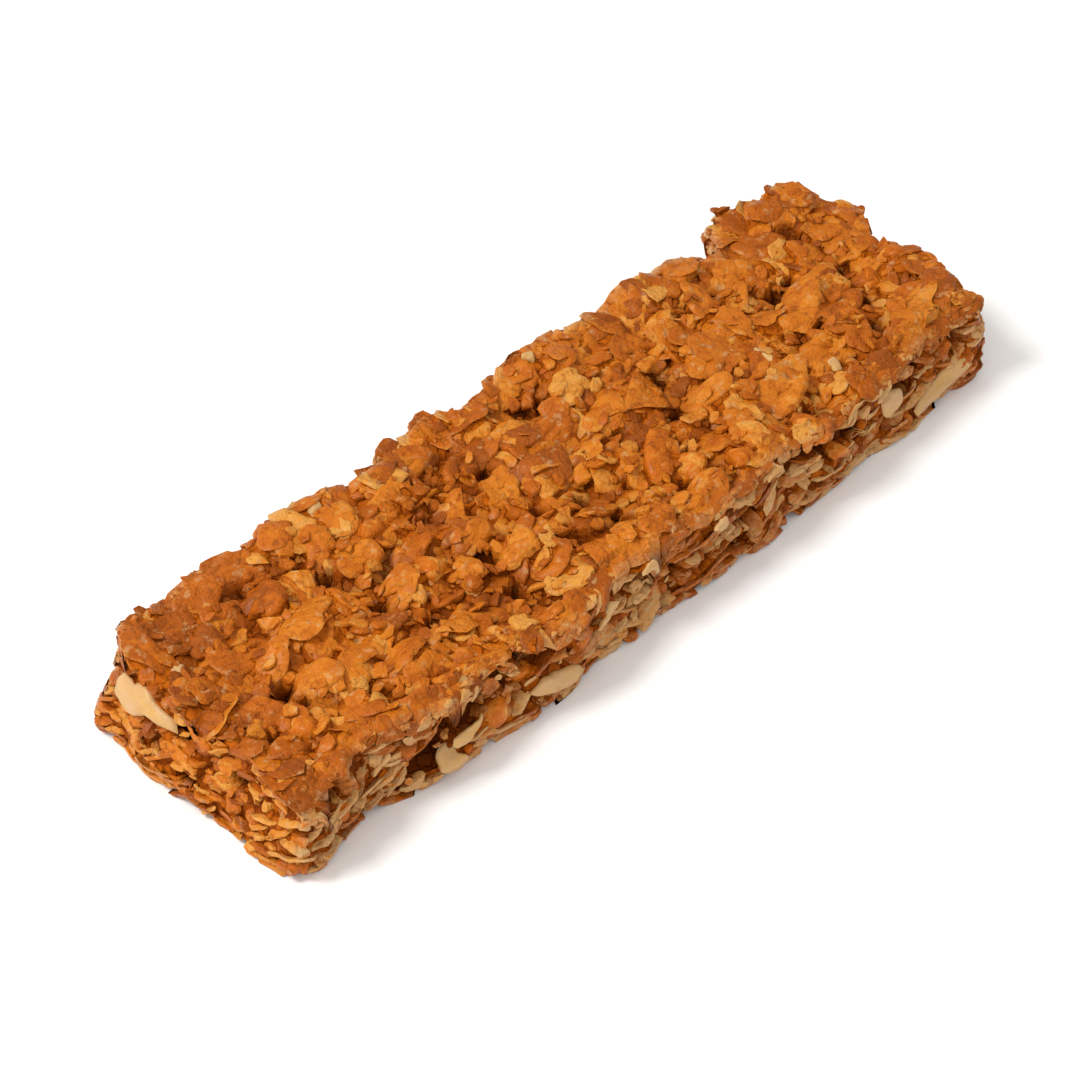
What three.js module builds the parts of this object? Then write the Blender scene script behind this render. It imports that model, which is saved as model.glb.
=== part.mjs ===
// A crunchy granola bar: rolled oats, crisps and nut slivers bound with syrup, pressed into a slab, baked and cut.
// It is one solid, out to its uneven outline. Units are millimetres and +Z is up.
// X runs along the bar, Y across it, and the origin is the middle of the flat underside.
import * as THREE from "three";
import { mergeVertices } from "three/addons/utils/BufferGeometryUtils.js";

// Driving dimensions of the slab before its surface is broken up.
const LENGTH = 100;
const WIDTH = 30.4;
const HEIGHT = 9.5;
const TOP_ROUND = 1.6; // radius of the crumbled upper edges
const BASE_ROUND = 0.7; // radius of the lower edges, kept crisp by the baking sheet
const TOP_LEAN = 0.5; // how far each side leans in on its way up
const LEDGE = { out: 1.9, full: 4.0, none: 6.5 }; // the near end's lower layers stand out, below these heights

// The oat flakes that show through as relief.
const FLAKE_LONG = 8.4;
const FLAKE_WIDE = 6.0;
const FLAKE_THICK = 2.2; // a flake with the syrup round it
const RELIEF = 1.6; // from the bottom of a crevice to the crown of a flake
const SINK = 0.6; // share of the relief that lies below the slab's own surface
const RIM_POWER = 0.35; // 0.5 would make each flake a plain dome, and less makes it flatter
const FLAKE_COUNT = 620;
const SEED = 41;
const LEAST_RISE = 0.25; // everything but the underside stays this far above the baking sheet

// Grid of the surface: one step is about a quarter of a flake.
const STEPS_LONG = 66;
const STEPS_WIDE = 20;
const STEPS_HIGH = 7;

// Places where the outline swells (out > 0) or is bitten away (out < 0).
// at is the place along that side, half is half the width of the place at its foot.
const FRONT = [
  { at: -40, half: 9, out: -2.1 },
  { at: -31, half: 3.5, out: 0.5 },
  { at: -26, half: 5, out: -0.5 },
  { at: -17.5, half: 6, out: 0.9 },
  { at: -10, half: 4, out: -0.5 },
  { at: 2.5, half: 6, out: 0.8 },
  { at: 11.5, half: 3.5, out: 1.1 },
  { at: 24, half: 7, out: 0.8 },
  { at: 35, half: 6, out: 0.2 },
  { at: 41, half: 3, out: -0.3 },
];
const BACK = [
  { at: -39, half: 9, out: 0.9 },
  { at: -26, half: 13, out: 1.7 },
  { at: -15.5, half: 4, out: -1.3 },
  { at: -6, half: 8, out: 1.8 },
  { at: 0, half: 3, out: -1.0 },
  { at: 8, half: 8, out: 1.4 },
  { at: 22, half: 6, out: 0.8 },
  { at: 29, half: 5, out: 0.6 },
  { at: 34.8, half: 3.6, out: -3.6 },
  { at: 40.5, half: 4, out: 2.4 },
];
const NEAR_END = [
  { at: 12.5, half: 6, out: -1.4 },
  { at: -5, half: 8, out: -0.8 },
];
const FAR_END = [
  { at: 7, half: 6.5, out: 3.8 },
  { at: 1, half: 4, out: -0.9 },
  { at: -4.5, half: 6, out: 2.9 },
  { at: -12, half: 5, out: -1.4 },
  { at: 13, half: 4, out: 1.4 },
];

// A small repeatable random number generator, giving values from 0 to 1.
function randomFrom(seed) {
  let state = seed >>> 0;
  return () => {
    state = (state + 0x6d2b79f5) >>> 0;
    let t = Math.imul(state ^ (state >>> 15), 1 | state);
    t = (t + Math.imul(t ^ (t >>> 7), 61 | t)) ^ t;
    return ((t ^ (t >>> 14)) >>> 0) / 4294967296;
  };
}

const mix = THREE.MathUtils.lerp;
const clamp = THREE.MathUtils.clamp;

// How far a side stands out at one place: the sum of its swellings, each a raised cosine.
function swelling(places, along) {
  let out = 0;
  for (const place of places) {
    const away = Math.abs(along - place.at) / place.half;
    if (away < 1) out += (place.out * (1 + Math.cos(Math.PI * away))) / 2;
  }
  return out;
}

// A point of the plain box, moved to the slab with its uneven outline and its sides leaning in.
function outlined(point) {
  const alongShare = point.x / (LENGTH / 2);
  const acrossShare = point.y / (WIDTH / 2);
  const lean = TOP_LEAN * (point.z / HEIGHT);
  const ledge = LEDGE.out * (1 - THREE.MathUtils.smoothstep(point.z, LEDGE.full, LEDGE.none));
  const side = swelling(acrossShare < 0 ? FRONT : BACK, point.x) - lean;
  const end = swelling(alongShare < 0 ? NEAR_END : FAR_END, point.y) + (alongShare < 0 ? ledge : 0) - lean;
  return new THREE.Vector3(point.x + end * alongShare, point.y + side * acrossShare, point.z);
}

// The rounded slab: the box's point pulled in to a core box and pushed out again by the edge radius.
// Returns the point and the direction in which the surface faces there.
function rounded(point) {
  const radius = mix(BASE_ROUND, TOP_ROUND, clamp(point.z / HEIGHT, 0, 1));
  const core = new THREE.Vector3(
    clamp(point.x, -LENGTH / 2 + radius, LENGTH / 2 - radius),
    clamp(point.y, -WIDTH / 2 + radius, WIDTH / 2 - radius),
    clamp(point.z, BASE_ROUND, HEIGHT - TOP_ROUND),
  );
  const facing = point.clone().sub(core).normalize();
  const reach = point.z > HEIGHT - TOP_ROUND ? TOP_ROUND : radius;
  return { place: core.addScaledVector(facing, reach), facing };
}

// Flakes lie nearly flat through the whole slab, turned every way and tipped a little.
function scatterFlakes() {
  const random = randomFrom(SEED);
  const flakes = [];
  for (let i = 0; i < FLAKE_COUNT; i++) {
    const size = mix(0.55, 1.1, random());
    const tip = new THREE.Euler(mix(-0.3, 0.3, random()), mix(-0.3, 0.3, random()), Math.PI * random(), "ZYX");
    flakes.push({
      middle: new THREE.Vector3(
        mix(-0.52, 0.52, random()) * LENGTH,
        mix(-0.52, 0.52, random()) * WIDTH,
        mix(0.05, 1.02, random()) * HEIGHT,
      ),
      half: new THREE.Vector3(FLAKE_LONG, FLAKE_WIDE, FLAKE_THICK).multiplyScalar(size / 2),
      unturn: new THREE.Quaternion().setFromEuler(tip).invert(),
      crown: mix(0.6, 1, random()),
    });
  }
  return flakes;
}

// How proud the surface is at a point, from 0 in a crevice to 1 on a flake. A flake is flat with a steep rim.
function proudness(point, flakes) {
  const reach = 0.75 * FLAKE_LONG;
  let proud = 0;
  for (const flake of flakes) {
    const away = point.clone().sub(flake.middle);
    if (away.lengthSq() > reach * reach) continue;
    away.applyQuaternion(flake.unturn).divide(flake.half);
    const inside = 1 - away.lengthSq();
    if (inside > 0) proud = Math.max(proud, flake.crown * inside ** RIM_POWER);
  }
  return proud;
}

// The whole bar as one closed surface: a box grid that is rounded, given its outline and broken up by flakes.
// The underside stays flat, as the baking sheet left it, and only its outline is broken up.
function barGeometry() {
  const box = new THREE.BoxGeometry(LENGTH, WIDTH, HEIGHT, STEPS_LONG, STEPS_WIDE, STEPS_HIGH);
  box.translate(0, 0, HEIGHT / 2);
  box.deleteAttribute("normal");
  box.deleteAttribute("uv");
  const bar = mergeVertices(box, 1e-3);
  const flakes = scatterFlakes();
  const positions = bar.getAttribute("position");
  const point = new THREE.Vector3();
  for (let i = 0; i < positions.count; i++) {
    point.fromBufferAttribute(positions, i);
    const underneath = point.z === 0;
    const { place, facing } = rounded(point);
    const moved = outlined(place);
    if (underneath) facing.setZ(0);
    moved.addScaledVector(facing, RELIEF * (proudness(moved, flakes) - SINK));
    positions.setXYZ(i, moved.x, moved.y, underneath ? 0 : Math.max(moved.z, LEAST_RISE));
  }
  return bar;
}

// Puts the middle of the bar's box over the origin, with the underside on the plane z = 0.
function centred(geometry) {
  geometry.computeBoundingBox();
  const middle = geometry.boundingBox.getCenter(new THREE.Vector3());
  return geometry.translate(-middle.x, -middle.y, -geometry.boundingBox.min.z);
}

const bakedOats = new THREE.MeshStandardMaterial({ color: 0xb8671f, roughness: 0.55, metalness: 0 });

const granolaBar = new THREE.Mesh(centred(barGeometry()), bakedOats);
granolaBar.name = "granola_bar";

const model = new THREE.Group();
model.add(granolaBar);

export default model;
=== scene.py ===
"""A crunchy granola bar, made the way a real one is.

Rolled oats, crisps and nut slivers lie flat on each other in a pressed slab, and caramelised syrup runs
between them. The loose pieces are laid one by one on a bed of heights, so each rests on those below it, and
are then pressed back to the outline of the bar. The syrup is one skin over a smaller core and all the pieces.
It fills the narrow gaps and lies a little below the pieces' faces.

Working lengths are in millimetres in the frame's own axes. A mesh is written in metres.
"""

import math
from typing import NamedTuple

import bmesh
import bpy
import numpy as np
from bpy.props import FloatProperty, FloatVectorProperty, IntProperty, PointerProperty
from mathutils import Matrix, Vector
from mathutils.bvhtree import BVHTree


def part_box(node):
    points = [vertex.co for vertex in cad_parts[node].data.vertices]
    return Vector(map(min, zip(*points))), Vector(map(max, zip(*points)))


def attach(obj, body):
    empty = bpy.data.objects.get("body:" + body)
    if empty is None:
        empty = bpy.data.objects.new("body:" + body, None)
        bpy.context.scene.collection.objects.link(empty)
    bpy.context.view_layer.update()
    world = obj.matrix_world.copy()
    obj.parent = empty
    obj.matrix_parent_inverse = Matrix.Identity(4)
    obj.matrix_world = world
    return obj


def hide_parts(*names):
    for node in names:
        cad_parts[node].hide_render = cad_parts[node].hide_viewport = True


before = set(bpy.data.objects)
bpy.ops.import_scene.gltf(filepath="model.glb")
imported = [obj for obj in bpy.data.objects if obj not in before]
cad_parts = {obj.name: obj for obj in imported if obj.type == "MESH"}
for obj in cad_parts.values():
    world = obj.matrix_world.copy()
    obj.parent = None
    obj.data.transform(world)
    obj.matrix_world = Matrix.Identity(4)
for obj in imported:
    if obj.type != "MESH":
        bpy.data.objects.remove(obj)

bl_info = {
    "name": "Granola Bar",
    "version": (1, 0, 0),
    "blender": (4, 5, 0),
    "location": "View3D > Sidebar > Granola Bar",
    "description": "Builds a crunchy granola bar of rolled oats, crisps, nut slivers, crumbs and baked syrup",
    "category": "Add Mesh",
}

MM = 0.001
TAU = 2 * math.pi
SEED = 20
PRESSED_LUMPS, PIT_LUMPS, DRY_LUMPS, RECESS_LUMPS = range(SEED + 9, SEED + 13)  # seeds of the broad lumps
FAR_OFF = 100  # mm: further than anything on the bar is from anything else that matters to it

BAR = "granola_bar"
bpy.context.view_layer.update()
BAR_LOW, BAR_HIGH = (np.array(corner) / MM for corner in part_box(BAR))
SLAB_MIDDLE = np.array([-0.4, -0.9])  # mm: the tables' places on the top face count from here


# ---------------------------------------------------------------- sizes and colours a user would change


def linear(hex_colour):
    """The linear red, green and blue of an sRGB hex colour."""
    channels = [int(hex_colour[i : i + 2], 16) / 255 for i in (1, 3, 5)]
    return [c / 12.92 if c <= 0.04045 else ((c + 0.055) / 1.055) ** 2.4 for c in channels]


def length(name, description, millimetres):
    """A length that a user may change, given in millimetres."""
    return FloatProperty(name=name, description=description, default=millimetres * MM, min=0, unit="LENGTH")


def colour(name, description, hex_colour):
    """A colour that a user may change."""
    limits = {"min": 0, "max": 1, "subtype": "COLOR"}
    return FloatVectorProperty(name=name, description=description, default=linear(hex_colour), **limits)


def how_many(name, description, number):
    """A number of pieces that a user may change."""
    return IntProperty(name=name, description=description, default=number, min=0)


class GranolaSizes(bpy.types.PropertyGroup):
    """Sizes and numbers of what the bar is made of."""

    oat_long: length("Oat Length", "Length of a whole rolled oat", 5.6)
    oat_wide: length("Oat Width", "Width of a whole rolled oat", 4.0)
    oat_thick: length("Oat Thickness", "Thickness of a rolled oat in its coat of syrup", 0.75)
    top_depth: length("Top Depth", "Depth of the loose oats above the syrup core", 1.6)
    side_depth: length("Side Depth", "Depth of the loose oats round the syrup core", 1.5)
    oat_gap: length("Oat Spacing", "Distance between neighbouring oats of one layer", 4.0)
    layer: length("Layer Height", "Height of one layer of oats at the sides", 0.75)
    syrup_detail: length("Syrup Detail", "Size of the finest shape in the syrup", 0.38)
    crumbs_on_top: how_many("Crumbs on Top", "Number of crumbs on the top face", 1700)
    crumbs_on_sides: how_many("Crumbs on Sides", "Number of crumbs on the four sides", 900)


class GranolaColours(bpy.types.PropertyGroup):
    """Colours of what the bar is made of."""

    dry: colour("Dry Oat", "The inside of an oat, where it is broken", "#C09664")
    pale: colour("Pale Oat", "Oat that the oven has hardly touched", "#CC8A38")
    golden: colour("Golden Oat", "Oat baked golden", "#C26C12")
    amber: colour("Amber Oat", "Oat soaked in dark syrup", "#AE560A")
    toasted: colour("Toasted Oat", "Oat toasted brown", "#8C420A")
    syrup: colour("Syrup", "Caramelised syrup in the gaps", "#7E3602")
    # painted shade: the colour down in crevices and holes, partly burnt syrup and partly their shade
    burnt_and_shaded: colour("Burnt and Shaded Syrup", "Syrup deep in a crevice", "#582402")
    crisp: colour("Crisp", "Glazed grain crisp", "#C0640C")
    nut: colour("Nut", "Blanched almond sliver", "#C49652")
    floor: colour("Floor", "Plain floor under the bar", "#F4F2EF")


# ---------------------------------------------------------------- where the pieces lie

# Oats that stand out on the top face, laid in this order: the middle (x, y), length and width in mm, turn in
# degrees, and toast from 0 for pale to 1 for brown.
TOP_OATS = (
    (-49.0, 11.4, 6.0, 3.2, 95, 0.72),
    (-44.2, 12.4, 6.6, 4.8, 10, 0.90),
    (-38.6, 12.4, 6.0, 4.2, 20, 0.66),
    (-34.0, 13.6, 5.0, 3.6, 0, 0.70),
    (-43.2, 7.4, 6.6, 5.6, 30, 0.92),
    (-47.8, 7.2, 5.2, 3.6, 60, 0.74),
    (-47.0, 13.2, 4.4, 2.0, 80, 0.50),
    (-42.0, 4.2, 5.2, 4.0, -20, 0.64),
    (-38.8, 8.8, 4.8, 3.6, -40, 0.68),
    (-46.8, 3.0, 4.0, 3.0, 15, 0.60),
    (-45.6, -2.4, 6.4, 4.4, -5, 0.70),
    (-39.4, 2.0, 5.0, 3.2, 20, 0.50),
    (-38.6, -2.4, 5.4, 4.2, 10, 0.40),
    (-33.8, 3.4, 7.4, 4.4, 8, 0.34),
    (-31.6, 7.2, 5.4, 3.8, 62, 0.20),
    (-29.2, 2.2, 5.0, 2.6, 95, 0.42),
    (-32.6, -2.0, 6.6, 4.6, -12, 0.44),
    (-36.4, -4.8, 4.6, 3.0, 12, 0.38),
    (-46.6, -6.8, 3.8, 3.6, 0, 0.78),
    (-50.2, -5.4, 4.4, 3.0, 40, 0.52),
    (-37.8, -7.6, 5.4, 5.0, 40, 0.58),
    (-32.4, -6.6, 4.4, 3.2, -20, 0.50),
    (-49.6, -11.6, 5.6, 4.0, 60, 0.60),
    (-43.2, -10.4, 7.8, 4.6, 6, 0.55),
    (-37.2, -11.2, 5.6, 2.8, 4, 0.40),
    (-30.6, -9.6, 5.6, 3.4, 22, 0.42),
    (-28.6, -13.0, 5.2, 3.2, 0, 0.40),
    (-28.0, 13.6, 5.4, 3.4, 35, 0.60),
    (-26.4, 9.6, 4.6, 3.0, 55, 0.52),
    (-22.8, 15.0, 6.6, 2.6, 0, 0.62),
    (-22.2, 10.8, 5.2, 4.0, 70, 0.36),
    (-24.4, 5.6, 4.6, 3.2, 0, 0.44),
    (-17.8, 9.2, 4.4, 3.2, 15, 0.34),
    (-24.6, 0.8, 5.6, 4.2, 30, 0.40),
    (-18.6, 4.0, 5.2, 3.4, 20, 0.70),
    (-11.6, 12.8, 7.2, 4.8, 10, 0.56),
    (-5.4, 14.8, 5.2, 3.2, 0, 0.46),
    (-7.4, 8.8, 4.4, 3.2, 15, 0.86),
    (-12.8, 4.6, 5.2, 3.0, 30, 0.50),
    (-7.0, 4.0, 4.6, 4.2, 60, 0.36),
    (-22.4, -6.6, 9.4, 4.8, 14, 0.38),
    (-14.4, 1.6, 4.2, 3.6, 60, 0.62),
    (-14.6, -0.4, 3.6, 2.4, 20, 0.44),
    (-11.8, -7.4, 6.4, 3.4, 10, 0.60),
    (-13.2, -4.4, 6.4, 3.4, 6, 0.28),
    (-3.4, 1.6, 6.8, 6.0, 70, 0.88),
    (-1.8, 8.0, 5.4, 3.6, 18, 0.22),
    (3.2, 13.8, 6.2, 3.4, 5, 0.40),
    (2.0, 5.2, 5.4, 3.4, 10, 0.66),
    (-3.2, -5.4, 4.8, 2.8, 12, 0.38),
    (-9.6, -9.6, 4.4, 2.8, 25, 0.24),
    (-7.4, -12.0, 6.0, 4.4, 68, 0.46),
    (-1.2, -11.6, 5.0, 3.4, 30, 0.58),
    (7.6, 8.2, 4.4, 3.6, 20, 0.04),
    (10.6, 12.6, 5.6, 3.2, 60, 0.50),
    (17.4, 13.8, 4.6, 3.6, 20, 0.80),
    (21.0, 13.4, 4.8, 3.8, 80, 0.40),
    (3.0, 1.4, 5.4, 3.2, 40, 0.24),
    (8.0, 3.6, 5.6, 3.8, 35, 0.36),
    (12.8, 2.2, 8.2, 5.0, 25, 0.44),
    (17.4, 7.6, 6.4, 5.0, 42, 0.60),
    (13.4, -3.6, 4.4, 2.6, 30, 0.30),
    (17.0, -2.2, 5.4, 3.0, -10, 0.36),
    (22.4, 8.9, 5.6, 2.6, -6, 0.34),
    (22.8, 5.0, 5.6, 3.2, 10, 0.56),
    (22.0, 1.4, 8.2, 5.6, 24, 0.46),
    (11.6, -7.2, 4.6, 3.6, 10, 0.50),
    (15.2, -7.8, 5.6, 3.2, 72, 0.42),
    (18.6, -7.0, 4.8, 2.4, 50, 0.44),
    (16.0, -12.0, 6.4, 3.0, 20, 0.44),
    (23.4, -7.2, 8.6, 6.0, 16, 0.34),
    (3.8, -12.4, 8.6, 4.8, 20, 0.30),
    (37.0, 13.2, 6.4, 4.4, 32, 0.54),
    (39.4, 9.8, 6.2, 5.0, 20, 0.74),
    (43.4, 12.6, 5.0, 3.8, -20, 0.62),
    (47.4, 12.0, 5.2, 4.0, -30, 0.72),
    (47.0, 7.4, 5.8, 4.0, 50, 0.38),
    (50.6, 6.8, 4.4, 3.0, 60, 0.64),
    (42.2, 3.8, 5.6, 5.0, 70, 0.42),
    (33.4, 8.6, 5.4, 4.4, -20, 0.40),
    (31.0, 5.6, 5.0, 3.2, 30, 0.28),
    (27.4, 8.0, 5.2, 3.0, 60, 0.46),
    (26.4, 2.6, 6.6, 4.4, 80, 0.44),
    (38.2, 1.2, 5.4, 2.6, 4, 0.30),
    (45.4, -3.6, 5.8, 3.4, 10, 0.72),
    (37.4, -3.4, 7.0, 3.4, 4, 0.66),
    (33.6, -0.4, 8.4, 4.6, 8, 0.36),
    (30.0, -6.6, 6.2, 4.8, 10, 0.34),
    (34.8, -7.6, 4.6, 3.6, 40, 0.60),
    (46.4, -9.6, 6.2, 4.2, 30, 0.78),
    (31.0, -12.8, 7.2, 3.2, 0, 0.52),
    (37.0, -12.4, 6.0, 3.2, 10, 0.48),
    (40.8, -8.8, 9.2, 6.8, 52, 0.30),
)

# Round glazed crisps on the top face: the middle (x, y), length, width and height in mm, turn in degrees, and
# toast. The last is a long caramel-soaked grain that lies across the middle.
TOP_CRISPS = (
    (-34.4, 8.2, 5.0, 4.4, 2.6, 60, 0.7),
    (-43.6, -6.3, 3.4, 2.8, 2.2, 10, 0.3),
    (-20.2, 0.3, 3.8, 3.2, 2.3, 30, 0.2),
    (7.6, -8.2, 4.0, 3.0, 2.4, 40, 0.2),
    (20.0, -4.0, 2.6, 1.7, 1.6, -10, 0.0),
    (29.8, 12.7, 6.4, 4.4, 2.9, 42, 0.3),
    (43.2, -2.4, 3.4, 2.4, 2.0, 42, 0.4),
    (48.2, -2.0, 3.2, 3.0, 2.3, 0, 0.5),
    (48.8, -6.0, 3.2, 2.6, 2.1, 20, 0.4),
    (-21.0, 7.6, 2.8, 2.2, 1.8, 0, 0.3),
    (11.2, -11.4, 3.0, 2.4, 1.8, 30, 0.4),
    (7.2, -4.2, 11.0, 2.8, 2.2, 46, 0.45),
)

# Nut slivers on the top face: the middle (x, y), length, width and thickness in mm, turn in degrees.
TOP_NUTS = (
    (25.8, -2.6, 3.4, 1.3, 1.0, 64),
    (7.8, 13.8, 1.8, 1.4, 1.0, 20),
    (-28.7, -12.6, 1.8, 1.3, 0.9, 10),
    (29.4, -8.8, 1.7, 1.3, 0.9, 80),
    (-46.5, 7.3, 1.8, 1.0, 0.9, 30),
    (-22.8, 13.6, 1.6, 1.1, 0.9, 0),
)

# The bar's five free sides. The front faces -Y and the near end -X.
TOP, FRONT, BACK, NEAR, FAR = range(5)
WALLS = (FRONT, BACK, NEAR, FAR)

# Nut slivers in the walls: the wall, the place along it, the height, length, width and thickness in mm. Then
# the roll from level and how far the face tips up from straight outwards, in degrees.
WALL_NUTS = (
    (NEAR, 6.9, 7.0, 9.6, 2.7, 1.0, -5, 42),
    (FRONT, -20.4, 3.0, 7.4, 2.3, 0.8, 2, 20),
    (FRONT, -33.6, 2.6, 3.2, 2.8, 0.8, 12, 30),
    (FRONT, -31.2, 4.8, 4.8, 1.0, 0.6, 4, 30),
    (FRONT, -12.0, 6.4, 5.4, 1.1, 0.6, 28, 20),
    (FRONT, -6.0, 8.0, 3.0, 0.8, 0.6, 10, 40),
    (FRONT, 3.8, 7.2, 3.2, 1.0, 0.7, 12, 30),
    (FRONT, 31.4, 5.6, 3.4, 2.7, 0.8, 0, 22),
    (FRONT, 38.8, 2.6, 9.6, 2.1, 0.8, 12, 22),
    (BACK, -31.0, 4.6, 5.4, 2.2, 0.9, 6, 25),
    (BACK, -2.0, 6.2, 4.6, 1.9, 0.8, -8, 35),
    (BACK, 17.0, 2.8, 5.8, 2.3, 0.9, 4, 20),
    (BACK, 44.0, 5.0, 4.0, 1.8, 0.8, 10, 30),
    (FAR, -3.4, 4.4, 5.2, 2.0, 0.9, -8, 40),
)

# Crisps in the walls: the wall, the place along it, the height, length, width and thickness in mm, and toast.
WALL_CRISPS = (
    (FRONT, -26.9, 3.6, 4.0, 2.8, 2.4, 0.3),
    (FRONT, -16.1, 5.6, 3.2, 2.2, 2.0, 0.4),
    (FRONT, 43.6, 3.2, 3.0, 2.2, 2.0, 0.6),
)

# Crevices that open the top face down to the dark syrup: the middle (x, y) and the radius in mm.
CREVICES = (
    (-43.6, 10.6, 0.5), (-40.6, -0.9, 0.9), (-41.0, -3.6, 0.7), (-46.4, -4.7, 0.9), (-49.0, -1.1, 1.0),
    (-48.8, -7.2, 0.9), (-47.6, -13.9, 1.0), (-28.2, 6.4, 0.9), (-27.3, 0.4, 0.8), (-31.6, 0.7, 0.8),
    (-34.9, -9.8, 0.7), (-34.6, 11.6, 0.8), (-38.9, 4.6, 0.6), (-31.8, -14.0, 1.0), (-25.2, -4.4, 0.6),
    (-21.2, -3.9, 0.8), (-15.4, -2.8, 0.7), (-16.4, -6.9, 1.0), (-16.0, 5.4, 0.8), (-11.4, 8.1, 0.9),
    (-10.4, 6.2, 0.8), (-6.6, 6.4, 0.9), (-7.4, -1.7, 1.0), (-3.1, -3.2, 0.7), (-4.0, -14.1, 1.3),
    (-1.8, -8.6, 0.8), (-7.6, -7.2, 0.8), (-22.8, 13.6, 0.7), (4.7, 9.4, 0.9), (7.0, 0.6, 0.7),
    (9.6, -4.7, 1.1), (5.2, -9.6, 1.0), (16.2, 3.6, 0.8), (18.7, 0.0, 0.7), (22.6, -11.4, 1.0),
    (24.8, 7.0, 1.2), (9.4, -10.4, 0.6), (34.9, 3.8, 0.9), (37.4, 4.2, 0.6), (43.6, 8.7, 1.1),
    (47.9, 0.3, 0.8), (40.4, -4.2, 0.6), (37.2, -7.7, 0.7), (29.3, 9.9, 0.6), (33.0, -3.6, 0.7),
    (31.2, -10.9, 0.6), (33.8, -12.2, 0.6), (13.2, -1.6, 0.5), (-19.4, 12.6, 0.6), (1.6, -4.9, 0.4),
    (-8.3, -5.8, 0.7), (-2.6, -7.0, 0.5),
)

# Holes in the walls: the wall, the place along it, the height and the radius in mm.
HOLES = (
    (FRONT, -46.8, 7.6, 1.3), (FRONT, -43.0, 7.4, 0.8), (FRONT, -36.1, 4.0, 0.9), (FRONT, -32.9, 6.8, 1.0),
    (FRONT, -29.1, 6.0, 0.8), (FRONT, -23.0, 7.4, 1.0), (FRONT, -12.8, 4.2, 0.8), (FRONT, -9.1, 6.0, 0.8),
    (FRONT, -1.4, 4.1, 0.9), (FRONT, 2.3, 3.2, 0.9), (FRONT, 7.3, 2.9, 0.9), (FRONT, 8.5, 5.4, 1.2),
    (FRONT, 14.1, 5.2, 0.8), (FRONT, 18.8, 7.3, 0.8), (FRONT, 20.8, 6.1, 1.3), (FRONT, 24.6, 5.7, 1.0),
    (FRONT, 27.2, 3.4, 0.9), (FRONT, 36.0, 6.2, 0.8), (FRONT, 42.6, 6.6, 1.2), (NEAR, 5.2, 5.0, 0.6),
    (NEAR, 11.4, 5.2, 0.4), (NEAR, 0.4, 6.4, 0.5), (NEAR, 0.2, 2.6, 0.5), (NEAR, -5.4, 5.4, 0.7),
    (NEAR, -11.4, 3.3, 0.5), (BACK, -30.0, 6.8, 0.9), (BACK, -20.0, 4.0, 1.0), (BACK, 8.0, 5.0, 1.0),
    (BACK, 24.0, 5.6, 0.9), (BACK, 38.0, 3.6, 1.0), (FAR, 2.0, 4.5, 1.1), (FAR, -8.0, 5.5, 1.0),
)

# Places where the oven has toasted the oats more than elsewhere: middle (x, y), radius in mm and how much.
SCORCHES = (
    (-45.0, 9.0, 9.0, 0.36),
    (-46.0, -3.0, 7.0, 0.16),
    (-33.0, 13.0, 5.0, 0.20),
    (-17.0, 4.0, 5.0, 0.16),
    (-6.0, 6.0, 6.0, 0.20),
    (-12.0, -7.5, 4.0, 0.14),
    (17.0, 12.0, 6.0, 0.20),
    (44.0, 11.0, 7.0, 0.20),
    (47.5, -9.0, 6.0, 0.35),
    (35.0, -4.0, 4.0, 0.14),
)


# ---------------------------------------------------------------- the pieces' shape


class Kind(NamedTuple):
    """How the pieces of one sort look. A pair is the least and the most."""

    squareness: tuple  # of the outline: 2 is an ellipse, and more is boxier
    taper: float  # how much wider one end is than the middle, as a share
    ragged: float  # waves round the rim, as a share of the way out
    breaks: int  # straight broken edges, at most
    fullness: tuple  # of the section: 2 is round, and more is flat with a tight rim
    crease: float  # depth of the crease along the middle, in mm
    crumple: float  # how far the whole piece is crumpled, in mm
    lumps: float  # height of the lumps on its faces, in mm
    curl: float  # how far the rim turns up at one place, in mm
    tilt: float  # slope at which it lies askew on what is under it


# Each kind's values, in the order above.
GLAZED_OAT = Kind((2.0, 3.4), 0.3, 0.09, 4, (3.0, 6.0), 0.30, 0.60, 0.24, 0.4, 0.15)
OAT = Kind((2.0, 2.8), 0.2, 0.10, 3, (4.0, 9.0), 0.25, 0.45, 0.24, 0.5, 0.13)
BROKEN_OAT = Kind((2.0, 3.2), 0.4, 0.13, 4, (4.0, 9.0), 0.1, 0.42, 0.24, 0.4, 0.20)
CRISP = Kind((2.0, 2.8), 0.2, 0.12, 2, (2.0, 3.4), 0.0, 0.55, 0.45, 0.0, 0.1)
SLIVER = Kind((2.6, 4.6), 0.4, 0.10, 2, (4.0, 7.0), 0.0, 0.4, 0.35, 0.2, 0.1)
CRUMB = Kind((2.2, 4.0), 0.5, 0.14, 4, (4.0, 9.0), 0.0, 0.20, 0.10, 0.0, 0.30)

WAVES = np.array([2, 3, 5, 8])  # waves round the rim
WAVE_SHARES = np.array([1.0, 1.0, 0.8, 0.5])  # the mean height of each, as a share of what the kind asks
MOST_BREAKS = 4
BREAK_REACH = (0.6, 0.96)  # how far out to the rim a break may lie
LEAST_COSINE = 0.05  # keeps a break from cutting the rim behind it
LEAST_OF_KIND = 0.5  # share of the kind's crumple and lumps that every piece has
LIFT = (0.02, 0.22)  # mm from the baking sheet to the lowest part of a piece
CREASE_SHARE = 0.2  # width of the crease as a share of the piece's half width
CRUMPLE_SIZE = 2.2  # mm
LUMP_SIZE = 0.9  # mm
LATTICE = 32  # steps after which soft lumps repeat
NUMBERS = 1000  # each piece has a number below this, which makes its lumps and grain its own


class Disc(NamedTuple):
    """The grid of a piece's closed skin: a pole on each face, and rings of points between them.

    A ring is the share of the way out to the rim, and 1 on the top face, 0 at the rim or -1 underneath.
    """

    segments: int
    rings: tuple


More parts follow.
